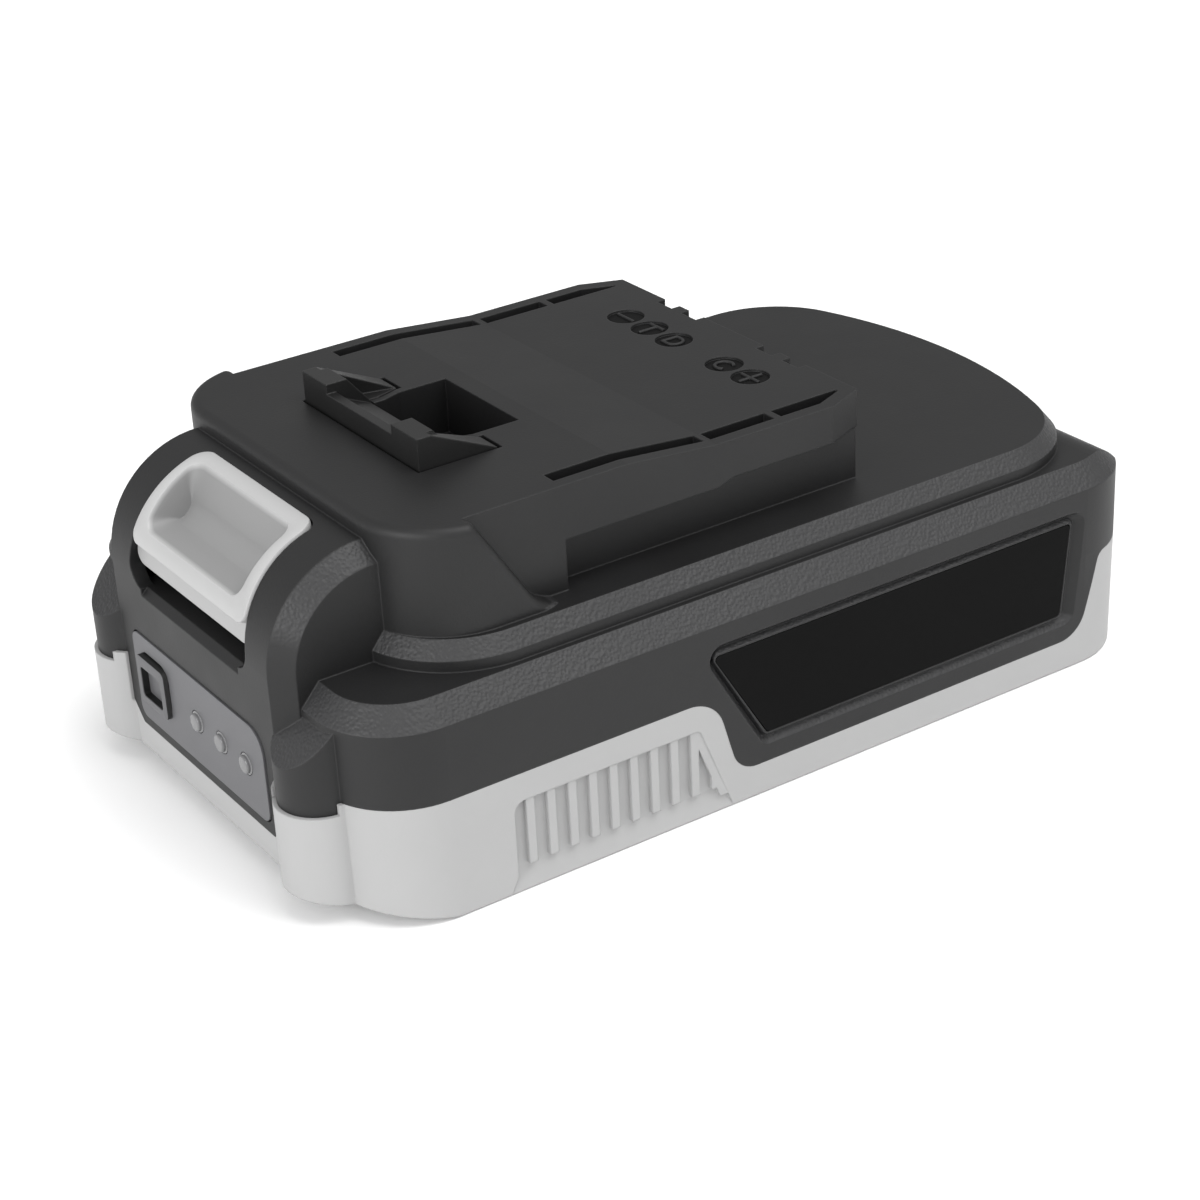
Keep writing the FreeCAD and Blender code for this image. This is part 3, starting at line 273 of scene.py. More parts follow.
def studio_floor():
    """Matt white sweep: plain paint with a faint mottle."""
    material, tree, where = blank_material("matt_white_studio_paint")
    mottle = noise(tree, where, 6.0, 3.0)
    shade(tree, Base_Color=blend(tree, mottle, "f9f9f9", "fcfcfc"), Roughness=0.9)
    corners = [(side * FLOOR_HALF, along * FLOOR_HALF, 0)
               for side, along in ((-1, -1), (1, -1), (1, 1), (-1, 1))]
    return mesh_piece("studio_floor", corners, [(0, 1, 2, 3)], material)


floor = studio_floor()
print("floor:", 2 * FLOOR_HALF, "m wide")

# %% Hang the lights
FRONT_LIGHT = 0.98
REAR_LIGHT = 0.47
# The brightest direction, and how far along it and against it the level still changes.
FRONT_LEFT = (-0.6, -0.78, 0.15)
REACH = 0.8

world = bpy.data.worlds.new("white_studio")
world.use_nodes = True
studio = world.node_tree
studio.nodes.clear()
direction = add(studio, "TexCoord").outputs["Generated"]
towards = add(studio, "VectorMath", {0: direction, 1: FRONT_LEFT}, operation="DOT_PRODUCT")
level = ramp(studio, towards.outputs["Value"], -REACH, REACH, REAR_LIGHT, FRONT_LIGHT)
surround = add(studio, "Background", {"Color": (1.0, 1.0, 1.0, 1.0), "Strength": level})
add(studio, "OutputWorld", {"Surface": surround.outputs[0]})
bpy.context.scene.world = world


def lamp(name, place, size, power):
    """Square soft lamp that looks at the pack's middle."""
    data = bpy.data.lights.new(name, "AREA")
    data.shape = "SQUARE"
    data.size = size
    data.energy = power
    piece = bpy.data.objects.new(name, data)
    bpy.context.scene.collection.objects.link(piece)
    piece.location = place
    aim = Vector((0.0, 0.0, 0.02)) - piece.location
    piece.rotation_euler = aim.to_track_quat("-Z", "Y").to_euler()


lamp("overhead_softbox", (0.3, -0.4, 1.1), 0.9, 9.5)
lamp("front_left_softbox", (-1.1, -0.3, 0.45), 0.6, 7.0)
bpy.context.scene.view_settings.view_transform = "Standard"
print("surround and two lamps")

# %% [markdown]
# ## Moulded plastics
#
# Both shells are glass-filled nylon, injection moulded in steel tools whose faces were spark-eroded.
# That leaves a fine even grain and a dull, slightly uneven sheen. A flat grey would look like clay, so
# the colour drifts a little, the grain is a bump pattern at its real scale, and edges are rounded in
# the shading by the small radius that every mould has. Edges are painted a little paler, partly as
# wear and partly as a painted highlight.

# %% Make a moulded plastic
EDGE_WEAR_AND_HIGHLIGHT = 0.35
CLOUD_SCALE = 65.0
LEATHER_SIZE = 0.42
LEATHER_DEPTH = 0.11
LEATHER_PAINTED_SHEEN = 0.5


def grain(tree, where, size_mm):
    """Grain of a spark-eroded mould: two layers of noise, one of the grain's size and one half of it."""
    return noise(tree, where, 1.0 / (size_mm * MM), 1.0)


def worn_and_highlit_edges(tree, rounded):
    """How far the rounded normal leans from the true one: 0 on a flat, 1 from a lean of 44 degrees."""
    true_normal = add(tree, "NewGeometry").outputs["Normal"]
    lean = add(tree, "VectorMath", {0: rounded, 1: true_normal}, operation="DOT_PRODUCT")
    return ramp(tree, lean.outputs["Value"], 1.0, 0.72)


def moulded(name, base, drift, roughness, grain_mm=0.35, depth_mm=0.012, edge_mm=0.35, edge_tone=None,
            specular=0.5, coarse=None):
    """Moulded plastic: two close tones that drift over some 15 mm, fine grain, and edges painted paler,
    partly as wear and partly as a painted highlight. Coarse is a function that gives the share of a deeper,
    leather-like grain, where the colour is painted paler too, as a painted sheen."""
    material, tree, where = blank_material(name)
    edge = add(tree, "Bevel", {"Radius": edge_mm * MM}, samples=6).outputs[0]
    normal = add(tree, "Bump", {"Height": grain(tree, where, grain_mm), "Distance": depth_mm * MM,
                                "Normal": edge}).outputs[0]
    cloud = noise(tree, where, CLOUD_SCALE, 4.0)
    # Edges are painted paler: partly wear, partly a painted highlight along the rounded edges.
    edge_wear_and_highlight = product(tree, worn_and_highlit_edges(tree, edge), EDGE_WEAR_AND_HIGHLIGHT)
    tone = blend(tree, edge_wear_and_highlight, blend(tree, cloud, base, drift), edge_tone or drift)
    if coarse:
        share = coarse(tree, where)
        cells = add(tree, "TexVoronoi", {"Vector": where, "Scale": 1.0 / (LEATHER_SIZE * MM)},
                    feature="SMOOTH_F1").outputs[0]
        normal = add(tree, "Bump", {"Height": product(tree, cells, share), "Distance": LEATHER_DEPTH * MM,
                                    "Normal": normal}).outputs[0]
        # Painted sheen: where the coarse grain lies, the colour goes up to half way to the edge tone.
        tone = blend(tree, product(tree, share, LEATHER_PAINTED_SHEEN), tone, edge_tone or drift)
    shade(tree, Base_Color=tone, Roughness=ramp(tree, cloud, 0.3, 0.7, roughness - 0.04, roughness + 0.04),
          Normal=normal, Specular_IOR_Level=specular)
    return material


# %% [markdown]
# ## Where the grain is coarse
#
# On the real pack the broad faces are almost smooth, but the slanted borders have a deeper, leathery
# grain: the steps round the housing and the deck, and the bevels beside the button. A mask finds them
# from the shape itself, by the slant of the face and its height, so no image or painting is needed. The
# same mask also makes those borders paler in colour, as a painted sheen.

# %% Find the slanted borders
DECK_Z = 33.3
BEVEL_Y = 21.3
# The button housing's round shoulder: its axis, which runs across the pack, and its radius.
SHOULDER_X, SHOULDER_Z, SHOULDER = -48.0, 30.4, 14.0


def slanted_borders(tree, where):
    """1 where the face leans between upright and level, and lies below the deck's top and beside the
    button's window, or on the button housing's side bevels. The limits are soft, so the grain fades."""
    slant = facing(tree, "Z")
    steep = ramp(tree, slant, 0.22, 0.34)
    level = ramp(tree, slant, 0.97, 0.93)
    spot = add(tree, "SeparateXYZ", {0: where})
    low = ramp(tree, spot.outputs["Z"], (DECK_Z + 0.1) * MM, (DECK_Z - 0.1) * MM)
    sideways = math_node(tree, "ABSOLUTE", spot.outputs["Y"])
    outside = ramp(tree, sideways, (BEVEL_Y - 0.1) * MM, (BEVEL_Y + 0.1) * MM)
    front = ramp(tree, spot.outputs["X"], (SHOULDER_X + 0.5) * MM, (SHOULDER_X - 0.5) * MM)
    behind = math_node(tree, "SUBTRACT", 1.0, front)
    below = product(tree, low, math_node(tree, "MAXIMUM", outside, behind))
    zone = math_node(tree, "MAXIMUM", below, product(tree, outside, front))
    return product(tree, steep, level, zone)


# %% Mix the plastics
PLASTICS = {
    # Glass-filled nylon, spark-eroded: dull, and a shade paler at its edges, partly where hands and tools
    # rub them and partly as a painted highlight.
    "upper_shell": moulded("dark_grey_moulded_nylon", "131313", "171718", 0.52, 0.35, 0.012, 0.3, "3c3c3d",
                           0.42, slanted_borders),
    "lower_shell": moulded("light_grey_moulded_nylon", "a0a0a0", "a6a6a6", 0.5, 0.35, 0.01, specular=0.45),
    "latch_hook": moulded("dark_satin_nylon", "131313", "171717", 0.45, 0.3, 0.008, 0.25, "303030", 0.44),
    # Matt black insert: its tone is as even as a label bed's.
    "side_panel": moulded("black_matt_panel", "0d0d0d", "0f0f0f", 0.6, 0.25, 0.003, 0.12, "151515", 0.05),
    "status_panel": moulded("mid_grey_matt_film", "57575a", "5c5c5e", 0.5, 0.25, 0.004, 0.15, "666666", 0.5),
    # Frosted polycarbonate pipes: a paler grey than the film, and smoother, so each cap has a glint.
    "light_guide": moulded("frosted_polycarbonate", "6a6a6b", "707071", 0.24, 0.5, 0.002, 0.1, "808080", 0.6),
    # Flame-retardant frame behind the cells and heat-proof carrier under the contacts.
    "cell_holder": moulded("black_flame_retardant_abs", "1a1a1b", "1e1e1f", 0.55, 0.4, 0.015, 0.25, "303030"),
    "terminal_block": moulded("black_heat_proof_polymer", "161616", "1a1a1a", 0.5, 0.3, 0.01, 0.15, "2c2c2c"),
}
print("plastics:", len(PLASTICS))

# %% [markdown]
# ## Metals
#
# Strips, contacts, springs and screws are rolled, stamped, drawn or plated. What the eye sees on such
# parts are fine lines along the direction of rolling and a reflection that is smeared across them. A
# noise pattern that is squeezed hard in one direction gives both, through roughness and bump.

# %% Make a rolled or drawn metal


def rolled(name, base, drift, roughness, squeeze, line_mm=0.12, depth_mm=0.004):
    """Metal with rolling lines: noise squeezed by the factors in squeeze, which are small along the
    lines and 1 across them, so the lines are line_mm apart."""
    material, tree, where = blank_material(name)
    drawn = add(tree, "Mapping", {"Vector": where, "Scale": squeeze}).outputs[0]
    lines = noise(tree, drawn, 1.0 / (line_mm * MM), 3.0)
    spots = noise(tree, where, 180.0, 4.0)
    shade(tree, Base_Color=blend(tree, spots, base, drift), Metallic=1.0,
          Normal=rounded_bump(tree, lines, depth_mm, 0.1),
          Roughness=ramp(tree, lines, 0.3, 0.7, roughness - 0.08, roughness + 0.1))
    return material


METALS = {
    # Pure nickel strip: warm white, rolled lengthways, a little dull from handling.
    "nickel_strip": rolled("rolled_nickel", "bdb8ae", "a9a49a", 0.32, (0.05, 1.0, 1.0)),
    # Tin-plated copper alloy, stamped: yellowish where the plating is thin.
    "contact": rolled("stamped_plated_copper_alloy", "cfae6a", "bf9c58", 0.28, (0.06, 1.0, 1.0)),
    # Drawn wire: a bluish steel with lines round the coil.
    "latch_spring": rolled("drawn_spring_steel", "8d8f92", "7a7c80", 0.3, (1.0, 1.0, 0.3), 0.08, 0.002),
    # Zinc plating under black passivate: deep grey, cloudy.
    "screws": rolled("black_zinc_plated_steel", "3a3b3d", "2c2d2f", 0.38, (1.0, 1.0, 0.4), 0.15, 0.004),
}
print("metals:", len(METALS))

# %% [markdown]
# ## Cells
#
# Each cell is a deep-drawn nickel-plated can in a plain shrink sleeve, which laps over the rim of both
# ends. One material can show both if it knows where it is: the face's direction separates the ends from
# the side, and the distance from the cell's own axis leaves the sleeve's lap on the ends.

# %% Wrap the cells
ROW_START = -45.6
CELL_DIAMETER = 18.4
CELL_PITCH = 19.4
CELL_Z = 12.3
LAP_RADIUS, LAP_END = 7.4, 31.5
PLUS_RADIUS = 4.3


def sleeved_cell():
    """Shrink sleeve with faint draw lines round the can, and bare plated steel inside the end laps."""
    material, tree, where = blank_material("pvc_shrink_sleeve_on_plated_can")
    spot = add(tree, "SeparateXYZ", {0: where})
    along = math_node(tree, "SUBTRACT", spot.outputs["X"], (ROW_START + CELL_DIAMETER / 2) * MM)
    across = math_node(tree, "PINGPONG", along, CELL_PITCH / 2 * MM)
    high = math_node(tree, "SUBTRACT", spot.outputs["Z"], CELL_Z * MM)
    radius = axis_distance(tree, across, high)
    end = ramp(tree, math_node(tree, "ABSOLUTE", facing(tree, "Y")), 0.6, 0.8)
    plus = ramp(tree, radius, (PLUS_RADIUS + 0.2) * MM, PLUS_RADIUS * MM)
    inner = ramp(tree, radius, (LAP_RADIUS + 0.1) * MM, (LAP_RADIUS - 0.1) * MM)
    past_lap = ramp(tree, math_node(tree, "ABSOLUTE", spot.outputs["Y"]), LAP_END * MM, (LAP_END + 0.05) * MM)
    bare = product(tree, inner, past_lap, math_node(tree, "MAXIMUM", end, plus))
    drawn = add(tree, "Mapping", {"Vector": where, "Scale": (0.15, 1.0, 0.15)}).outputs[0]
    film = noise(tree, drawn, 900.0, 3.0)
    sleeve = blend(tree, film, "2f7f92", "2a7486")
    steel = blend(tree, film, "b9b7b2", "a5a39e")
    bump = add(tree, "Bump", {"Height": film, "Distance": 0.01 * MM}).outputs[0]
    shade(tree, Base_Color=blend(tree, bare, sleeve, steel), Metallic=bare, Normal=bump,
          Roughness=ramp(tree, bare, 0.0, 1.0, 0.32, 0.26))
    return material


# %% [markdown]
# ## Boards, chips and small electrical parts
#
# The boards are glass epoxy under green solder resist. The copper tracks below it are 35 micrometres
# thick, and show as slightly raised, lighter lines in right angles. A brick pattern gives such lines
# without drawing a circuit. Chips are dull black epoxy with tinned legs, and the flat cable has wires
# a millimetre apart that ripple its film.

# %% Make the board materials


def circuit_board():
    """Solder resist over tracks: two brick patterns of different pitch give the tracks, and fine noise
    gives the weave below."""
    material, tree, where = blank_material("glass_epoxy_board_with_green_resist")
    tracks = []
    for width_mm, height_mm in ((5.2, 1.3), (2.1, 6.4)):
        bricks = add(tree, "TexBrick", {"Vector": where, "Scale": 1.0, "Mortar Size": 0.16 * MM,
                                        "Mortar Smooth": 0.2, "Brick Width": width_mm * MM,
                                        "Row Height": height_mm * MM, "Color1": (0, 0, 0, 1),
                                        "Color2": (0, 0, 0, 1), "Mortar": (1, 1, 1, 1)})
        tracks.append(bricks.outputs["Fac"])
    copper = math_node(tree, "MAXIMUM", *tracks)
    weave = noise(tree, where, 1400.0, 2.0)
    height = math_node(tree, "ADD", copper, product(tree, weave, 0.15))
    normal = add(tree, "Bump", {"Height": height, "Distance": 0.035 * MM}).outputs[0]
    base = blend(tree, weave, "0d4a2b", "105232")
    shade(tree, Base_Color=blend(tree, copper, base, "1d6e45"), Roughness=0.3, Normal=normal)
    return material


def legged_chip(name, node, leg_mm, base, drift):
    """Dull epoxy body with tinned legs: whatever lies within leg_mm of the node's lowest or highest y
    is metal."""
    material, tree, where = blank_material(name)
    low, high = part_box(node)
    y = add(tree, "SeparateXYZ", {0: where}).outputs["Y"]
    near = ramp(tree, y, low[1] + (leg_mm[0] - 0.05) * MM, low[1] + (leg_mm[0] + 0.05) * MM, 1.0, 0.0)
    far = ramp(tree, y, high[1] - (leg_mm[1] + 0.05) * MM, high[1] - (leg_mm[1] - 0.05) * MM)
    leg = math_node(tree, "MAXIMUM", near, far)
    speck = noise(tree, where, 4000.0, 2.0)
    normal = add(tree, "Bump", {"Height": speck, "Distance": 0.01 * MM}).outputs[0]
    shade(tree, Base_Color=blend(tree, leg, blend(tree, speck, base, drift), "c4c2bd"), Metallic=leg,
          Roughness=ramp(tree, leg, 0.0, 1.0, 0.6, 0.3), Normal=normal)
    return material


def flat_cable():
    """Polyester film over parallel wires: a wave of 1 mm across the cable, bright on the wires."""
    material, tree, where = blank_material("flat_flexible_cable")
    # A wave texture makes one band in every 2 pi / 20 of its coordinate.
    wires = add(tree, "TexWave", {"Vector": where, "Scale": 2 * math.pi / 20 / MM, "Distortion": 0.0},
                bands_direction="Y").outputs["Fac"]
    fibre = noise(tree, where, 2500.0, 2.0)
    normal = add(tree, "Bump", {"Height": wires, "Distance": 0.15 * MM}).outputs[0]
    shade(tree, Base_Color=blend(tree, wires, "8c8674", "cfc8b4"), Normal=normal,
          Roughness=ramp(tree, fibre, 0.3, 0.7, 0.25, 0.4))
    return material


def fibre_sheet():
    """Vulcanised fibre paper: pressed cotton fibres, a few tenths of a millimetre long, lie all ways."""
    material, tree, where = blank_material("grey_vulcanised_fibre_paper")
    fibres = add(tree, "TexNoise", {"Vector": where, "Scale": 1800.0, "Detail": 5.0,
                                    "Distortion": 2.0}).outputs[0]
    cloud = noise(tree, where, 90.0, 3.0)
    normal = add(tree, "Bump", {"Height": fibres, "Distance": 0.03 * MM}).outputs[0]
    shade(tree, Base_Color=blend(tree, cloud, blend(tree, fibres, "8f938c", "a3a79f"), "979b94"),
          Roughness=0.85, Normal=normal)
    return material


def small_part(name, base, drift, roughness, speck_mm):
    """Small moulded or dipped part: two tones in specks and a matching bump."""
    material, tree, where = blank_material(name)
    speck = noise(tree, where, 1.0 / (speck_mm * MM), 3.0)
    shade(tree, Base_Color=blend(tree, speck, base, drift), Roughness=roughness,
          Normal=rounded_bump(tree, speck, 0.01, 0.12))
    return material


# %% [markdown]
# ## Finishes of the key and the button
#
# Both are touched by fingers, and both show two tones on one moulding. The face's direction sets the
# key's grey face apart from its dark flanks. The depth below the lip darkens the button's pocket as
# painted shade, and the skirt by a part of it, as a painted shadow under the lip.

# %% Make the finishes of the key and the button
LIP_LOW = 34.8
# The share of the pocket's painted shade that the skirt takes, as a painted shadow under the lip.
SKIRT_SHADE_SHARE = 0.35


def two_tone_key():
    """Key moulded in dark nylon, grey on what faces forward: the normal's X
    tells the face and the slot's floor, at -1, from the flanks, at 0."""
    material, tree, where = blank_material("dark_key_grey_where_facing_forward")
    face = ramp(tree, facing(tree, "X"), -0.6, -0.8)
    speck = grain(tree, where, 0.25)
    dark, forward_grey = blend(tree, speck, "0e0e0e", "121212"), blend(tree, speck, "565658", "5a5a5c")
    # Grey where a face looks forward, dark where it turns sideways, the slot's walls too.
    shade(tree, Base_Color=blend(tree, face, dark, forward_grey), Roughness=0.5,
          Normal=rounded_bump(tree, speck, 0.006, 0.1), Specular_IOR_Level=0.45)
    return material


def button_with_painted_pocket_shade():
    """Light nylon, polished on the lip and left dull in the pocket, whose colour is darkened as painted
    shade: the tone follows the depth below the housing's shoulder, which is its radius less the distance
    from its axis. The skirt, below the lip, takes only a part of it, as a painted shadow under the lip."""
    material, tree, where = blank_material("light_grey_satin_nylon")
    spot = add(tree, "SeparateXYZ", {0: where})
    ahead = math_node(tree, "SUBTRACT", spot.outputs["X"], SHOULDER_X * MM)
    above = math_node(tree, "SUBTRACT", spot.outputs["Z"], SHOULDER_Z * MM)
    deep = ramp(tree, axis_distance(tree, ahead, above), (SHOULDER + 0.15) * MM, (SHOULDER - 0.4) * MM)
    pocket = ramp(tree, spot.outputs["Z"], LIP_LOW * MM, (LIP_LOW + 1.0) * MM, SKIRT_SHADE_SHARE, 1.0)
    # Painted shade: the pocket, and the skirt by a share, are darkened towards 858585.
    painted_pocket_shade = product(tree, deep, pocket)
    cloud = noise(tree, where, CLOUD_SCALE, 4.0)
    shade(tree, Base_Color=blend(tree, painted_pocket_shade, blend(tree, cloud, "a5a5a5", "ababab"), "858585"),
          Roughness=ramp(tree, painted_pocket_shade, 0.0, 0.4, 0.34, 0.5),
          Normal=rounded_bump(tree, grain(tree, where, 0.3), 0.004, 0.12), Specular_IOR_Level=0.5)
    return material


KEY_AND_BUTTON = {"release_button": button_with_painted_pocket_shade(), "check_button": two_tone_key()}
print("touched finishes:", len(KEY_AND_BUTTON))

# %% Mix the finishes of small parts
ELECTRICAL = {
    "cell": sleeved_cell(),
    "board": circuit_board(),
    "control_chip": legged_chip("epoxy_chip_with_tinned_legs", "control_chip", (1.0, 1.0),
                                "161617", "1c1c1d"),
    "power_transistors": legged_chip("epoxy_transistor_with_tinned_tab", "power_transistors", (2.0, 0.0),
                                     "131314", "19191a"),
    "status_ribbon": flat_cable(),
    "insulating_sheet": fibre_sheet(),
    # Clear-topped diode: a red lens in a pale cup.
    "status_leds": small_part("moulded_red_diode", "a8322b", "b84038", 0.2, 0.4),
    "check_switch": small_part("black_switch_body", "171717", "1d1d1d", 0.45, 0.2),
    # Bead of dipped epoxy: glossy and a little uneven.
    "thermistor": small_part("dipped_epoxy_bead", "1b1a18", "23211e", 0.25, 0.6),
}
print("finishes of small parts:", len(ELECTRICAL))

# %% [markdown]
# ## Dress every solid
#
# A solid takes its finish from the start of its name, so the left and right panels, the five cells and
# the six strips share theirs as they do in the factory. The loop stops if a solid has no finish.

# %% Dress the solids
FINISHES = {**PLASTICS, **METALS, **KEY_AND_BUTTON, **ELECTRICAL}
SHARED = {"housing_screws": "screws", "board_screws": "screws", "status_board": "board",
          "control_board": "board"}

for node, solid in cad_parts.items():
    start = SHARED.get(node) or max((key for key in FINISHES if node.startswith(key)), key=len)
    solid.data.materials.clear()
    solid.data.materials.append(FINISHES[start])
print("dressed solids:", len(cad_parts))

# %% [markdown]
# ## Marks over the contact slots
#
# Five small discs are sunk into the rail plate, and a raised mark stands in each: minus, T, D, C and
# plus, which name the contacts below them. A mark is a stroke with a flat crown and bevelled flanks,
# carried along a path. Text objects would give a type's outlines, but a stroke is closer to how such
# marks are cut into a mould, with one round cutter that follows a line.

# %% Cut the marks
PITCH = 5.68
DISC_X = 14.5
DISC_FLOOR = 45.2
MARK_RISE = 0.36
MARK_ROOT = -0.05
STROKE = 0.44
FLANK = 0.09


def stroke(path, closed=False):
    """Points and faces of a raised stroke along a path in plan. Each path point is moved sideways along
    the mean of its two edges' normals, divided by one plus their dot product and doubled, which keeps
    the stroke's width round a corner. Six such lines make the foot, flanks and crown."""
    path = np.asarray(path, float)
    ahead = np.roll(path, -1, axis=0) - path
    if not closed:
        ahead[-1] = ahead[-2]
    ahead /= np.linalg.norm(ahead, axis=1, keepdims=True)
    behind = np.roll(ahead, 1, axis=0)
    if not closed:
        behind[0] = ahead[0]
    left = np.column_stack([-ahead[:, 1], ahead[:, 0]])
    before = np.column_stack([-behind[:, 1], behind[:, 0]])
    side = (left + before) / (1.0 + np.einsum("ij,ij->i", left, before))[:, None]
    half, crown = STROKE / 2, STROKE / 2 - FLANK
    across = np.array([-half, -half, -crown, crown, half, half])
    rise = np.array([MARK_ROOT, MARK_RISE - FLANK, MARK_RISE, MARK_RISE, MARK_RISE - FLANK, MARK_ROOT])
    plan = path[:, None, :] + side[:, None, :] * across[None, :, None]
    points = np.dstack([plan, np.broadcast_to(rise, plan.shape[:2])[..., None]])
    rows, lines = plan.shape[:2]
    faces = bands(rows, lines, closed) + ([] if closed else ends(rows, lines))
    return points.reshape(-1, 3), faces


def arc(centre, radius, start, end, count):
    """Points at even angles on a circle."""
    turn = np.radians(np.linspace(start, end, count))
    return np.column_stack([centre[0] + radius * np.cos(turn), centre[1] + radius * np.sin(turn)])


# Each mark by its place in pitches: its strokes as (right, up) in millimetres from the disc's middle,
# with True for a closed one.
BOW = arc((0.1, 0.0), 1.2, -75, 75, 11)
MARKS = {
    2.5: [([(-1.85, 0.0), (1.85, 0.0)], False)],
    1.5: [([(-1.55, 1.25), (1.55, 1.25)], False), ([(0.0, 1.03), (0.0, -1.8)], False)],
    0.5: [(np.vstack([[(-0.95, -1.2), (0.1, -1.2)], BOW, [(0.1, 1.2), (-0.95, 1.2)]]), True)],
    -1.5: [(arc((0.0, 0.0), 1.25, 45, 315, 19), False)],
    -2.5: [([(-1.85, 0.0), (1.85, 0.0)], False), ([(0.0, 0.2), (0.0, 1.85)], False),
           ([(0.0, -0.2), (0.0, -1.85)], False)],
}


def contact_marks():
    """All five marks as one piece. Up on a mark points to the pack's rear end, so right is -Y."""
    blocks = []
    for place, strokes in MARKS.items():
        for path, closed in strokes:
            flat, cells = stroke(path, closed)
            turned_mark = np.column_stack([flat[:, 1], -flat[:, 0], flat[:, 2]])
            blocks.append((turned_mark + (DISC_X, place * PITCH, DISC_FLOOR), cells))
    points, faces = joined(blocks)
    return mesh_piece("contact_marks", points * MM, faces, PLASTICS["upper_shell"])


# %% [markdown]
# The floors of the discs are painted darker than the plate, as painted shade of the recesses, and they
# have no sheen. A thin disc on each floor carries that painted shade.

# %% Lay the discs' floors
DISC_RADIUS, DISC_HUB = 2.63, 0.1
DISC_LOW, DISC_HIGH = -0.06, 0.02


def painted_shade_discs():
    """Thin discs of painted shade on the recesses' floors, whose rims end inside the walls. A turned
    profile's axis is its first coordinate, so that one becomes the height."""
    disc, cells = turned([(DISC_HUB, DISC_LOW), (DISC_RADIUS, DISC_LOW), (DISC_RADIUS, DISC_HIGH),
                          (DISC_HUB, DISC_HIGH)], 48)
    level = disc[:, [1, 2, 0]]
    points, faces = joined([(level + (DISC_X, place * PITCH, DISC_FLOOR), cells) for place in MARKS])
    # Painted shade: the discs are darker, 0b0b0b, than the plate's 131313.
    painted_shade_finish = moulded("painted_shade_on_disc_floors", "0b0b0b", "0f0f0f", 0.75, 0.3, 0.03, 0.1,
                    "141414", 0.14)
    return mesh_piece("painted_shade_discs", points * MM, faces, painted_shade_finish)


marks, shade_discs = contact_marks(), painted_shade_discs()
for piece in (marks, shade_discs):
    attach(piece, "pack")
print("marks:", len(marks.data.polygons), "faces, floors:", len(shade_discs.data.polygons))

# %% [markdown]
# ## The release button
#
# The button wraps round the housing's shoulder. Its lip stands a little proud, a skirt hangs below it,
# and the thumb goes into a deep pocket with a level floor and a steep back wall. The solid behind it
# has only a shallow dish, so the full form is made here. Every outline on it is a four-sided figure
# with round corners, drawn on the unrolled shoulder: one direction runs round the curve, the other
# across the pack. The surface is a stack of such outlines, each at its own height over the shoulder.

# %% Draw rounded outlines
ARC_STEPS = 6
ACROSS_STEPS = 12
ALONG_STEPS = 24
# Steps from the middle of one corner's arc to the next, across and along.
ACROSS, ALONG = ACROSS_STEPS + 2 * ARC_STEPS, ALONG_STEPS + 2 * ARC_STEPS


def outline(low, high, left, right, radii):
    """Closed line round a rectangle from low to high and from left to right, whose corners have the
    radii of (low, high). Each corner is an arc about a centre one radius inside both its sides. The
    line starts in the middle of the arc at (low, left), so that its four stretches, from one arc's
    middle to the next, have the same number of steps on every outline and can be joined."""
    near, far = radii
    centres = np.array([(low + near, left + near), (low + near, right - near),
                        (high - far, right - far), (high - far, left + far)])
    arcs = []
    for centre, radius, start in zip(centres, (near, near, far, far), (180.0, 270.0, 0.0, 90.0)):
        turn = np.radians(np.linspace(start, start + 90.0, 2 * ARC_STEPS + 1))
        arcs.append(centre + radius * np.column_stack([np.sin(turn), np.cos(turn)]))
    parts = []
    for i, corner in enumerate(arcs):
        steps = ACROSS_STEPS if i % 2 == 0 else ALONG_STEPS
        share = np.arange(1, steps)[:, None] / steps
        parts += [corner, corner[-1] * (1 - share) + arcs[(i + 1) % 4][0] * share]
    return np.roll(np.vstack(parts), -ARC_STEPS, axis=0)


def stretches(ring):
    """The four stretches of a ring between its corners: low and high run across, right and left run
    along, each with its corners, so they are the four rims of a grid."""
    low = ring[:ACROSS + 1]
    right = ring[ACROSS:ACROSS + ALONG + 1]
    high = ring[ACROSS + ALONG:2 * ACROSS + ALONG + 1][::-1]
    left = np.concatenate([ring[2 * ACROSS + ALONG:], ring[:1]])[::-1]
    return low, right, high, left


def patch(ring):
    """Grid that fills a ring of points in space: the sum of the two ruled surfaces between opposite
    stretches, less the plane through the four corners, known as a Coons patch."""
    low, right, high, left = stretches(ring)
    p = np.linspace(0, 1, ALONG + 1)[:, None, None]
    q = np.linspace(0, 1, ACROSS + 1)[None, :, None]
    ruled = (1 - p) * low[None] + p * high[None] + (1 - q) * left[:, None] + q * right[:, None]
    flat = (1 - p) * ((1 - q) * low[0] + q * low[-1]) + p * ((1 - q) * high[0] + q * high[-1])
    return ruled - flat


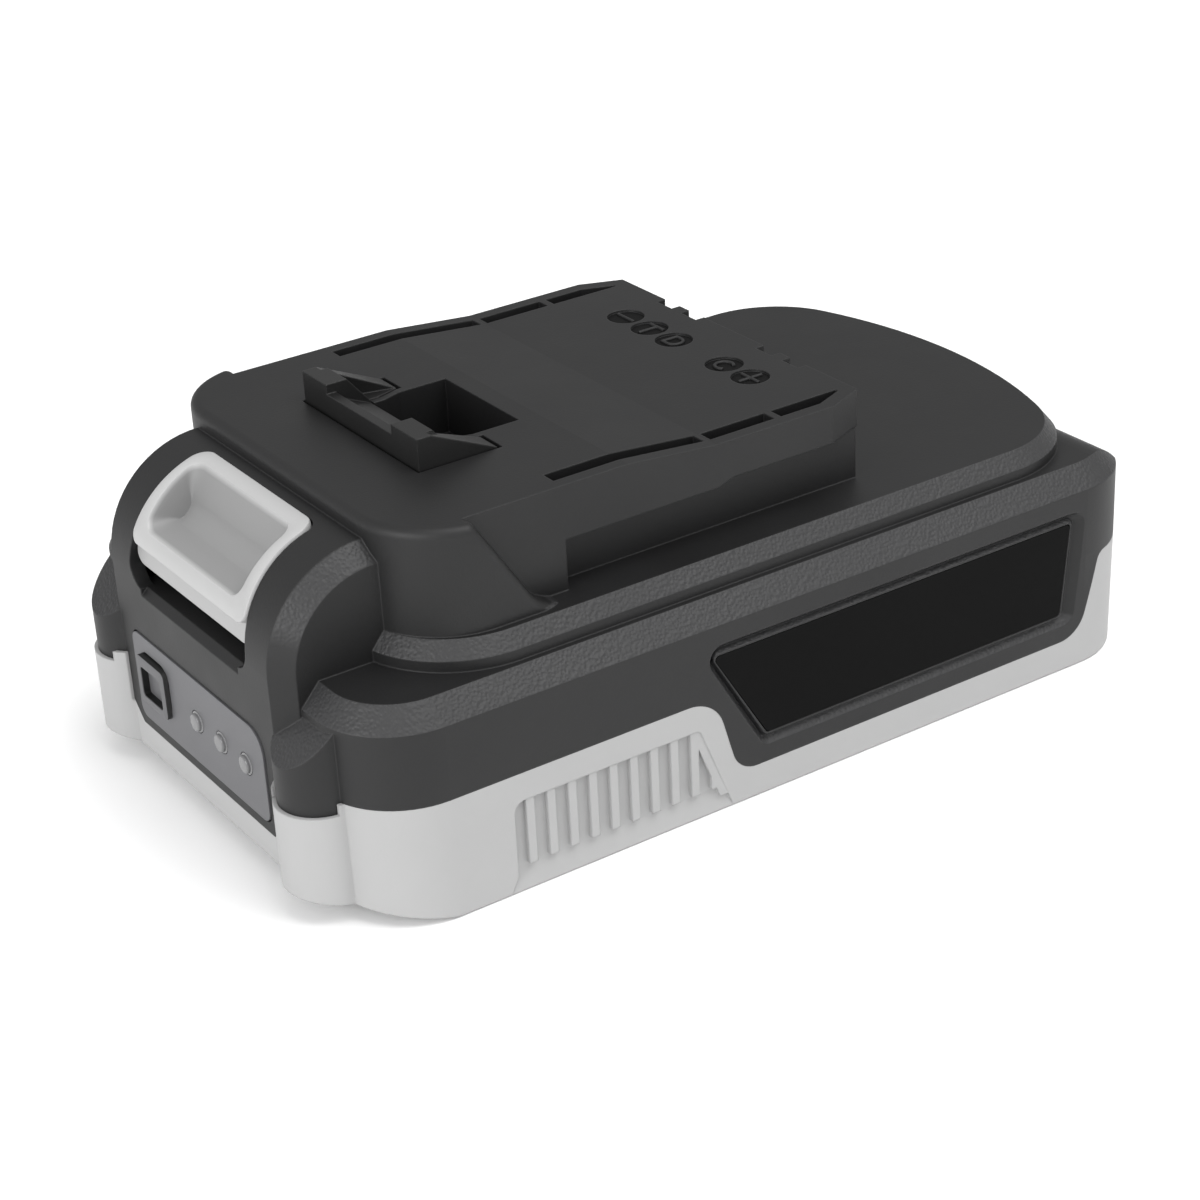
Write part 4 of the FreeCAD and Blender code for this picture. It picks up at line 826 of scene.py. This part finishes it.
def stack(name, rings, material):
    """Closed piece: bands between the rings, and a patch that fills the first and the last ring. The
    points of each patch's rim are the ring's own."""
    count = len(rings[0])
    points = [np.vstack(rings)]
    faces = bands(len(rings), count)
    start = len(rings) * count
    for ring, base, flipped in ((rings[0], 0, True), (rings[-1], (len(rings) - 1) * count, False)):
        inside = patch(ring)[1:-1, 1:-1].reshape(-1, 3)
        index = np.zeros((ALONG + 1, ACROSS + 1), int)
        index[1:-1, 1:-1] = start + np.arange(len(inside)).reshape(ALONG - 1, ACROSS - 1)
        index[0], index[:, -1], index[-1], index[:, 0] = stretches(base + np.arange(count))
        cells = np.stack([index[:-1, :-1], index[:-1, 1:], index[1:, 1:], index[1:, :-1]], axis=-1)
        cells = cells.reshape(-1, 4)
        faces += [tuple(cell) for cell in (cells[:, ::-1] if flipped else cells).tolist()]
        points.append(inside)
        start += len(inside)
    return smooth(mesh_piece(name, np.vstack(points) * MM, faces, material))


print("points on an outline:", 2 * (ACROSS + ALONG))

# %% [markdown]
# The sizes of the button come next, in millimetres. The window narrows upwards, so the button does too.
# The skirt ends above the window's lower edge by more than the button's travel, and the pocket stays
# clear of the curved plate that closes the window behind the button.

# %% Shape the release button
# Half width of the button at the height of the window's lower edge, that height, and its taper upwards.
BUTTON_HALF, WINDOW_LOW, BUTTON_TAPER = 15.95, 28.7, 1.6 / 15.7
# Heights over the shoulder of the button's back, its skirt and its lip.
BACK, SKIRT_RISE, LIP_RISE = -4.4, -0.9, 0.35
SKIRT_LOW, SKIRT_ROUND = 31.8, 2.4
LIP_REAR, LIP_ROUND, REAR_ROUND = -50.0, 1.8, 2.6
POCKET_HALF, POCKET_ROUND, POCKET_RIM = 12.6, 2.0, 2.3
POCKET_FLOOR, POCKET_BACK, POCKET_FILLET, POCKET_DRAFT = 36.95, -53.8, 2.6, 0.985
# Radius of the soft edges, and how far in the middle of such an edge lies, as a share of it.
SOFT, SOFT_MIDDLE = 0.25, 0.3


def round_shoulder(flat, height, taper=True):
    """Points (along the curve, across) on the shoulder, raised by height. The angle is the length along
    the curve over the radius. Taper draws the sides in towards the top as the window's sides do."""
    angle = flat[:, 0] / SHOULDER
    radius = SHOULDER + height
    level = SHOULDER_Z + radius * np.sin(angle)
    across = flat[:, 1] * ((BUTTON_HALF - BUTTON_TAPER * (level - WINDOW_LOW)) if taper else 1.0)
    return np.column_stack([SHOULDER_X - radius * np.cos(angle), across, level])


def release_button():
    """Skirt, lip and pocket as one stack of outlines. The pocket's last outline lies on a quarter round
    between floor and back wall: the share of the way up the opening sets the angle on it."""
    skirt = SHOULDER * math.asin((SKIRT_LOW - SHOULDER_Z) / SHOULDER)
    low = SHOULDER * math.asin((LIP_LOW - SHOULDER_Z) / (SHOULDER + LIP_RISE))
    high = SHOULDER * math.acos((SHOULDER_X - LIP_REAR) / (SHOULDER + LIP_RISE))
    middle = SOFT_MIDDLE * SOFT

    def outer(start, inset, height, corner):
        half = BUTTON_HALF - inset
        flat = outline(start + inset, high - inset, -half, half, (corner, REAR_ROUND - inset))
        flat[:, 1] /= BUTTON_HALF
        return round_shoulder(flat, height)

    rings = [outer(skirt, 0.0, BACK, SKIRT_ROUND), outer(skirt, 0.0, SKIRT_RISE - SOFT, SKIRT_ROUND),
             outer(skirt + middle, 0.0, SKIRT_RISE - middle, SKIRT_ROUND - 0.1),
             outer(skirt + SOFT, 0.0, SKIRT_RISE, SKIRT_ROUND - 0.2), outer(low, 0.0, SKIRT_RISE, LIP_ROUND),
             outer(low, 0.0, LIP_RISE - SOFT, LIP_ROUND),
             outer(low, middle, LIP_RISE - middle, LIP_ROUND - 0.05),
             outer(low, SOFT, LIP_RISE, LIP_ROUND - 0.2)]
    bottom = SHOULDER * math.asin((POCKET_FLOOR - SHOULDER_Z) / SHOULDER)
    top = high - POCKET_RIM
    for grow, height in ((SOFT, LIP_RISE), (middle, LIP_RISE - middle), (0.0, LIP_RISE - SOFT)):
        flat = outline(bottom - grow, top + grow, -POCKET_HALF - grow, POCKET_HALF + grow,
                       (POCKET_ROUND + grow, POCKET_ROUND + grow))
        rings.append(round_shoulder(flat, height, taper=False))
    opening = rings[-1]
    rise = math.pi / 2 * (flat[:, 0] - bottom) / (top - bottom)
    inner = np.column_stack([POCKET_BACK - POCKET_FILLET + POCKET_FILLET * np.sin(rise),
                             flat[:, 1] * POCKET_DRAFT,
                             POCKET_FLOOR + POCKET_FILLET - POCKET_FILLET * np.cos(rise)])
    rings += [opening * (1 - share) + inner * share for share in (0.25, 0.5, 0.75, 1.0)]
    return stack("release_button_shaped", rings, KEY_AND_BUTTON["release_button"])


button = release_button()
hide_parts("release_button")
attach(button, "latch")
print("button:", len(button.data.polygons), "faces")

# %% [markdown]
# ## The check key and the light caps
#
# The key stands proud of the panel. Its face carries the panel's grey and is slotted, so that a finger
# finds it, while its flanks are dark. It is the same stack of outlines, on a flat instead of a curve.
# The three lights end in low round caps, each a profile turned about its own axis.

# %% Shape the key
PANEL_FACE = -62.2
# Lowest and highest z, then the same for y.
KEY, KEY_ROUND = (11.9, 18.8, 8.05, 15.9), 0.9
KEY_SLOT, SLOT_ROUND = (13.0, 17.2, 9.3, 14.9), 0.5
KEY_RISE, KEY_ROOT, KEY_DEPTH = 0.7, 2.8, 1.0
# Soft edge round the face, the middle of that edge, and the soft edge round the slot.
KEY_SOFT, KEY_SOFT_MIDDLE, SLOT_SOFT = 0.12, 0.04, 0.08


def check_key():
    """Upright outlines (height, across) from the root to the face, and down into the slot."""

    def upright(frame_box, grow, place, corner):
        low, high, left, right = frame_box
        flat = outline(low - grow, high + grow, left - grow, right + grow, (corner + grow, corner + grow))
        return np.column_stack([np.full(len(flat), place), flat[:, 1], flat[:, 0]])

    face = PANEL_FACE - KEY_RISE
    rings = [upright(KEY, 0.0, PANEL_FACE + KEY_ROOT, KEY_ROUND),
             upright(KEY, 0.0, face + KEY_SOFT, KEY_ROUND),
             upright(KEY, -KEY_SOFT_MIDDLE, face + KEY_SOFT_MIDDLE, KEY_ROUND),
             upright(KEY, -KEY_SOFT, face, KEY_ROUND), upright(KEY_SLOT, SLOT_SOFT, face, SLOT_ROUND),
             upright(KEY_SLOT, 0.0, face + SLOT_SOFT, SLOT_ROUND),
             upright(KEY_SLOT, 0.0, face + KEY_DEPTH, SLOT_ROUND)]
    return stack("check_button_shaped", rings, KEY_AND_BUTTON["check_button"])


key = check_key()
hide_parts("check_button")
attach(key, "check_key")
print("key:", len(key.data.polygons), "faces")

# %% Turn the light caps
CAP_RADIUS, CAP_RISE, CAP_ROOT, CAP_ROUND = 1.2, 0.55, 0.1, 0.3
# Two circles of the crown, as (radius, rise above the cap's edge). The last one is almost a point.
CROWN = ((0.5, 0.02), (0.02, 0.03))
LIGHT_Z, LIGHT_ROW = 15.2, (0.3, -6.3, -12.9)


def light_caps():
    """Three caps turned about X. The profile goes up the side, round the edge by a quarter circle, and
    over a crown that rises a little more to the middle."""
    angle = np.radians(np.linspace(0, 90, 7))
    quarter = np.column_stack([CAP_RADIUS - CAP_ROUND + CAP_ROUND * np.cos(angle),
                               CAP_ROUND - CAP_RISE - CAP_ROUND * np.sin(angle)])
    profile = np.vstack([[(CROWN[-1][0], CAP_ROOT), (CAP_RADIUS, CAP_ROOT)], quarter,
                         [(radius, -CAP_RISE - rise) for radius, rise in CROWN]])
    cap, cells = turned(profile, 40)
    points, faces = joined([(cap + (PANEL_FACE, y, LIGHT_Z), cells) for y in LIGHT_ROW])
    return smooth(mesh_piece("light_caps", points * MM, faces, PLASTICS["light_guide"]))


caps = light_caps()
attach(caps, "pack")
print("caps:", len(caps.data.polygons), "faces")

# %% [markdown]
# ## Latch springs
#
# Two compression springs push the hook up. In the solids each is a plain sleeve of the spring's size,
# and the wound spring takes its place here: a circle of wire carried along a helix, with one closed
# turn at each end. It rides with the latch.

# %% Wind the springs
WIRE, WIRE_SIDES = 0.8, 10
COIL_RADIUS = 2.6
TURNS, TURN_STEPS = 8, 20


def wound_spring(node):
    """Helix in the box of the plain sleeve: height over turns is a broken line that climbs one wire in
    the first and last turn. Each ring of wire is spanned by the outward direction and by the cross
    product of the path's tangent with it."""
    low, high = (np.array(corner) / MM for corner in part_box(node))
    middle = (low + high) / 2
    length = high[2] - low[2] - WIRE
    turn = np.linspace(0.0, TURNS, TURNS * TURN_STEPS + 1)
    rise = np.interp(turn, [0.0, 1.0, TURNS - 1.0, TURNS], [0.0, WIRE, length - WIRE, length])
    angle = 2 * math.pi * turn
    outward = np.column_stack([np.cos(angle), np.sin(angle), np.zeros_like(angle)])
    climb = np.column_stack([np.full((len(turn), 2), middle[:2]), low[2] + WIRE / 2 + rise])
    path = outward * COIL_RADIUS + climb
    tangent = np.gradient(path, axis=0)
    upward = np.cross(outward, tangent)
    upward /= np.linalg.norm(upward, axis=1, keepdims=True)
    round_wire = 2 * math.pi * np.arange(WIRE_SIDES) / WIRE_SIDES
    rings = path[:, None, :] + WIRE / 2 * (np.cos(round_wire)[None, :, None] * outward[:, None, :]
                                           + np.sin(round_wire)[None, :, None] * upward[:, None, :])
    faces = bands(len(turn), WIRE_SIDES) + ends(len(turn), WIRE_SIDES)
    spring = mesh_piece(node + "_wound", rings.reshape(-1, 3) * MM, faces, METALS["latch_spring"])
    spring.data.polygons.foreach_set("use_smooth", [True] * (len(faces) - 2) + [False, False])
    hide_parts(node)
    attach(spring, "latch")
    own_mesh(spring)
    return spring


springs = [wound_spring("latch_spring_" + side) for side in ("left", "right")]
print("springs:", [len(spring.data.polygons) for spring in springs], "faces")
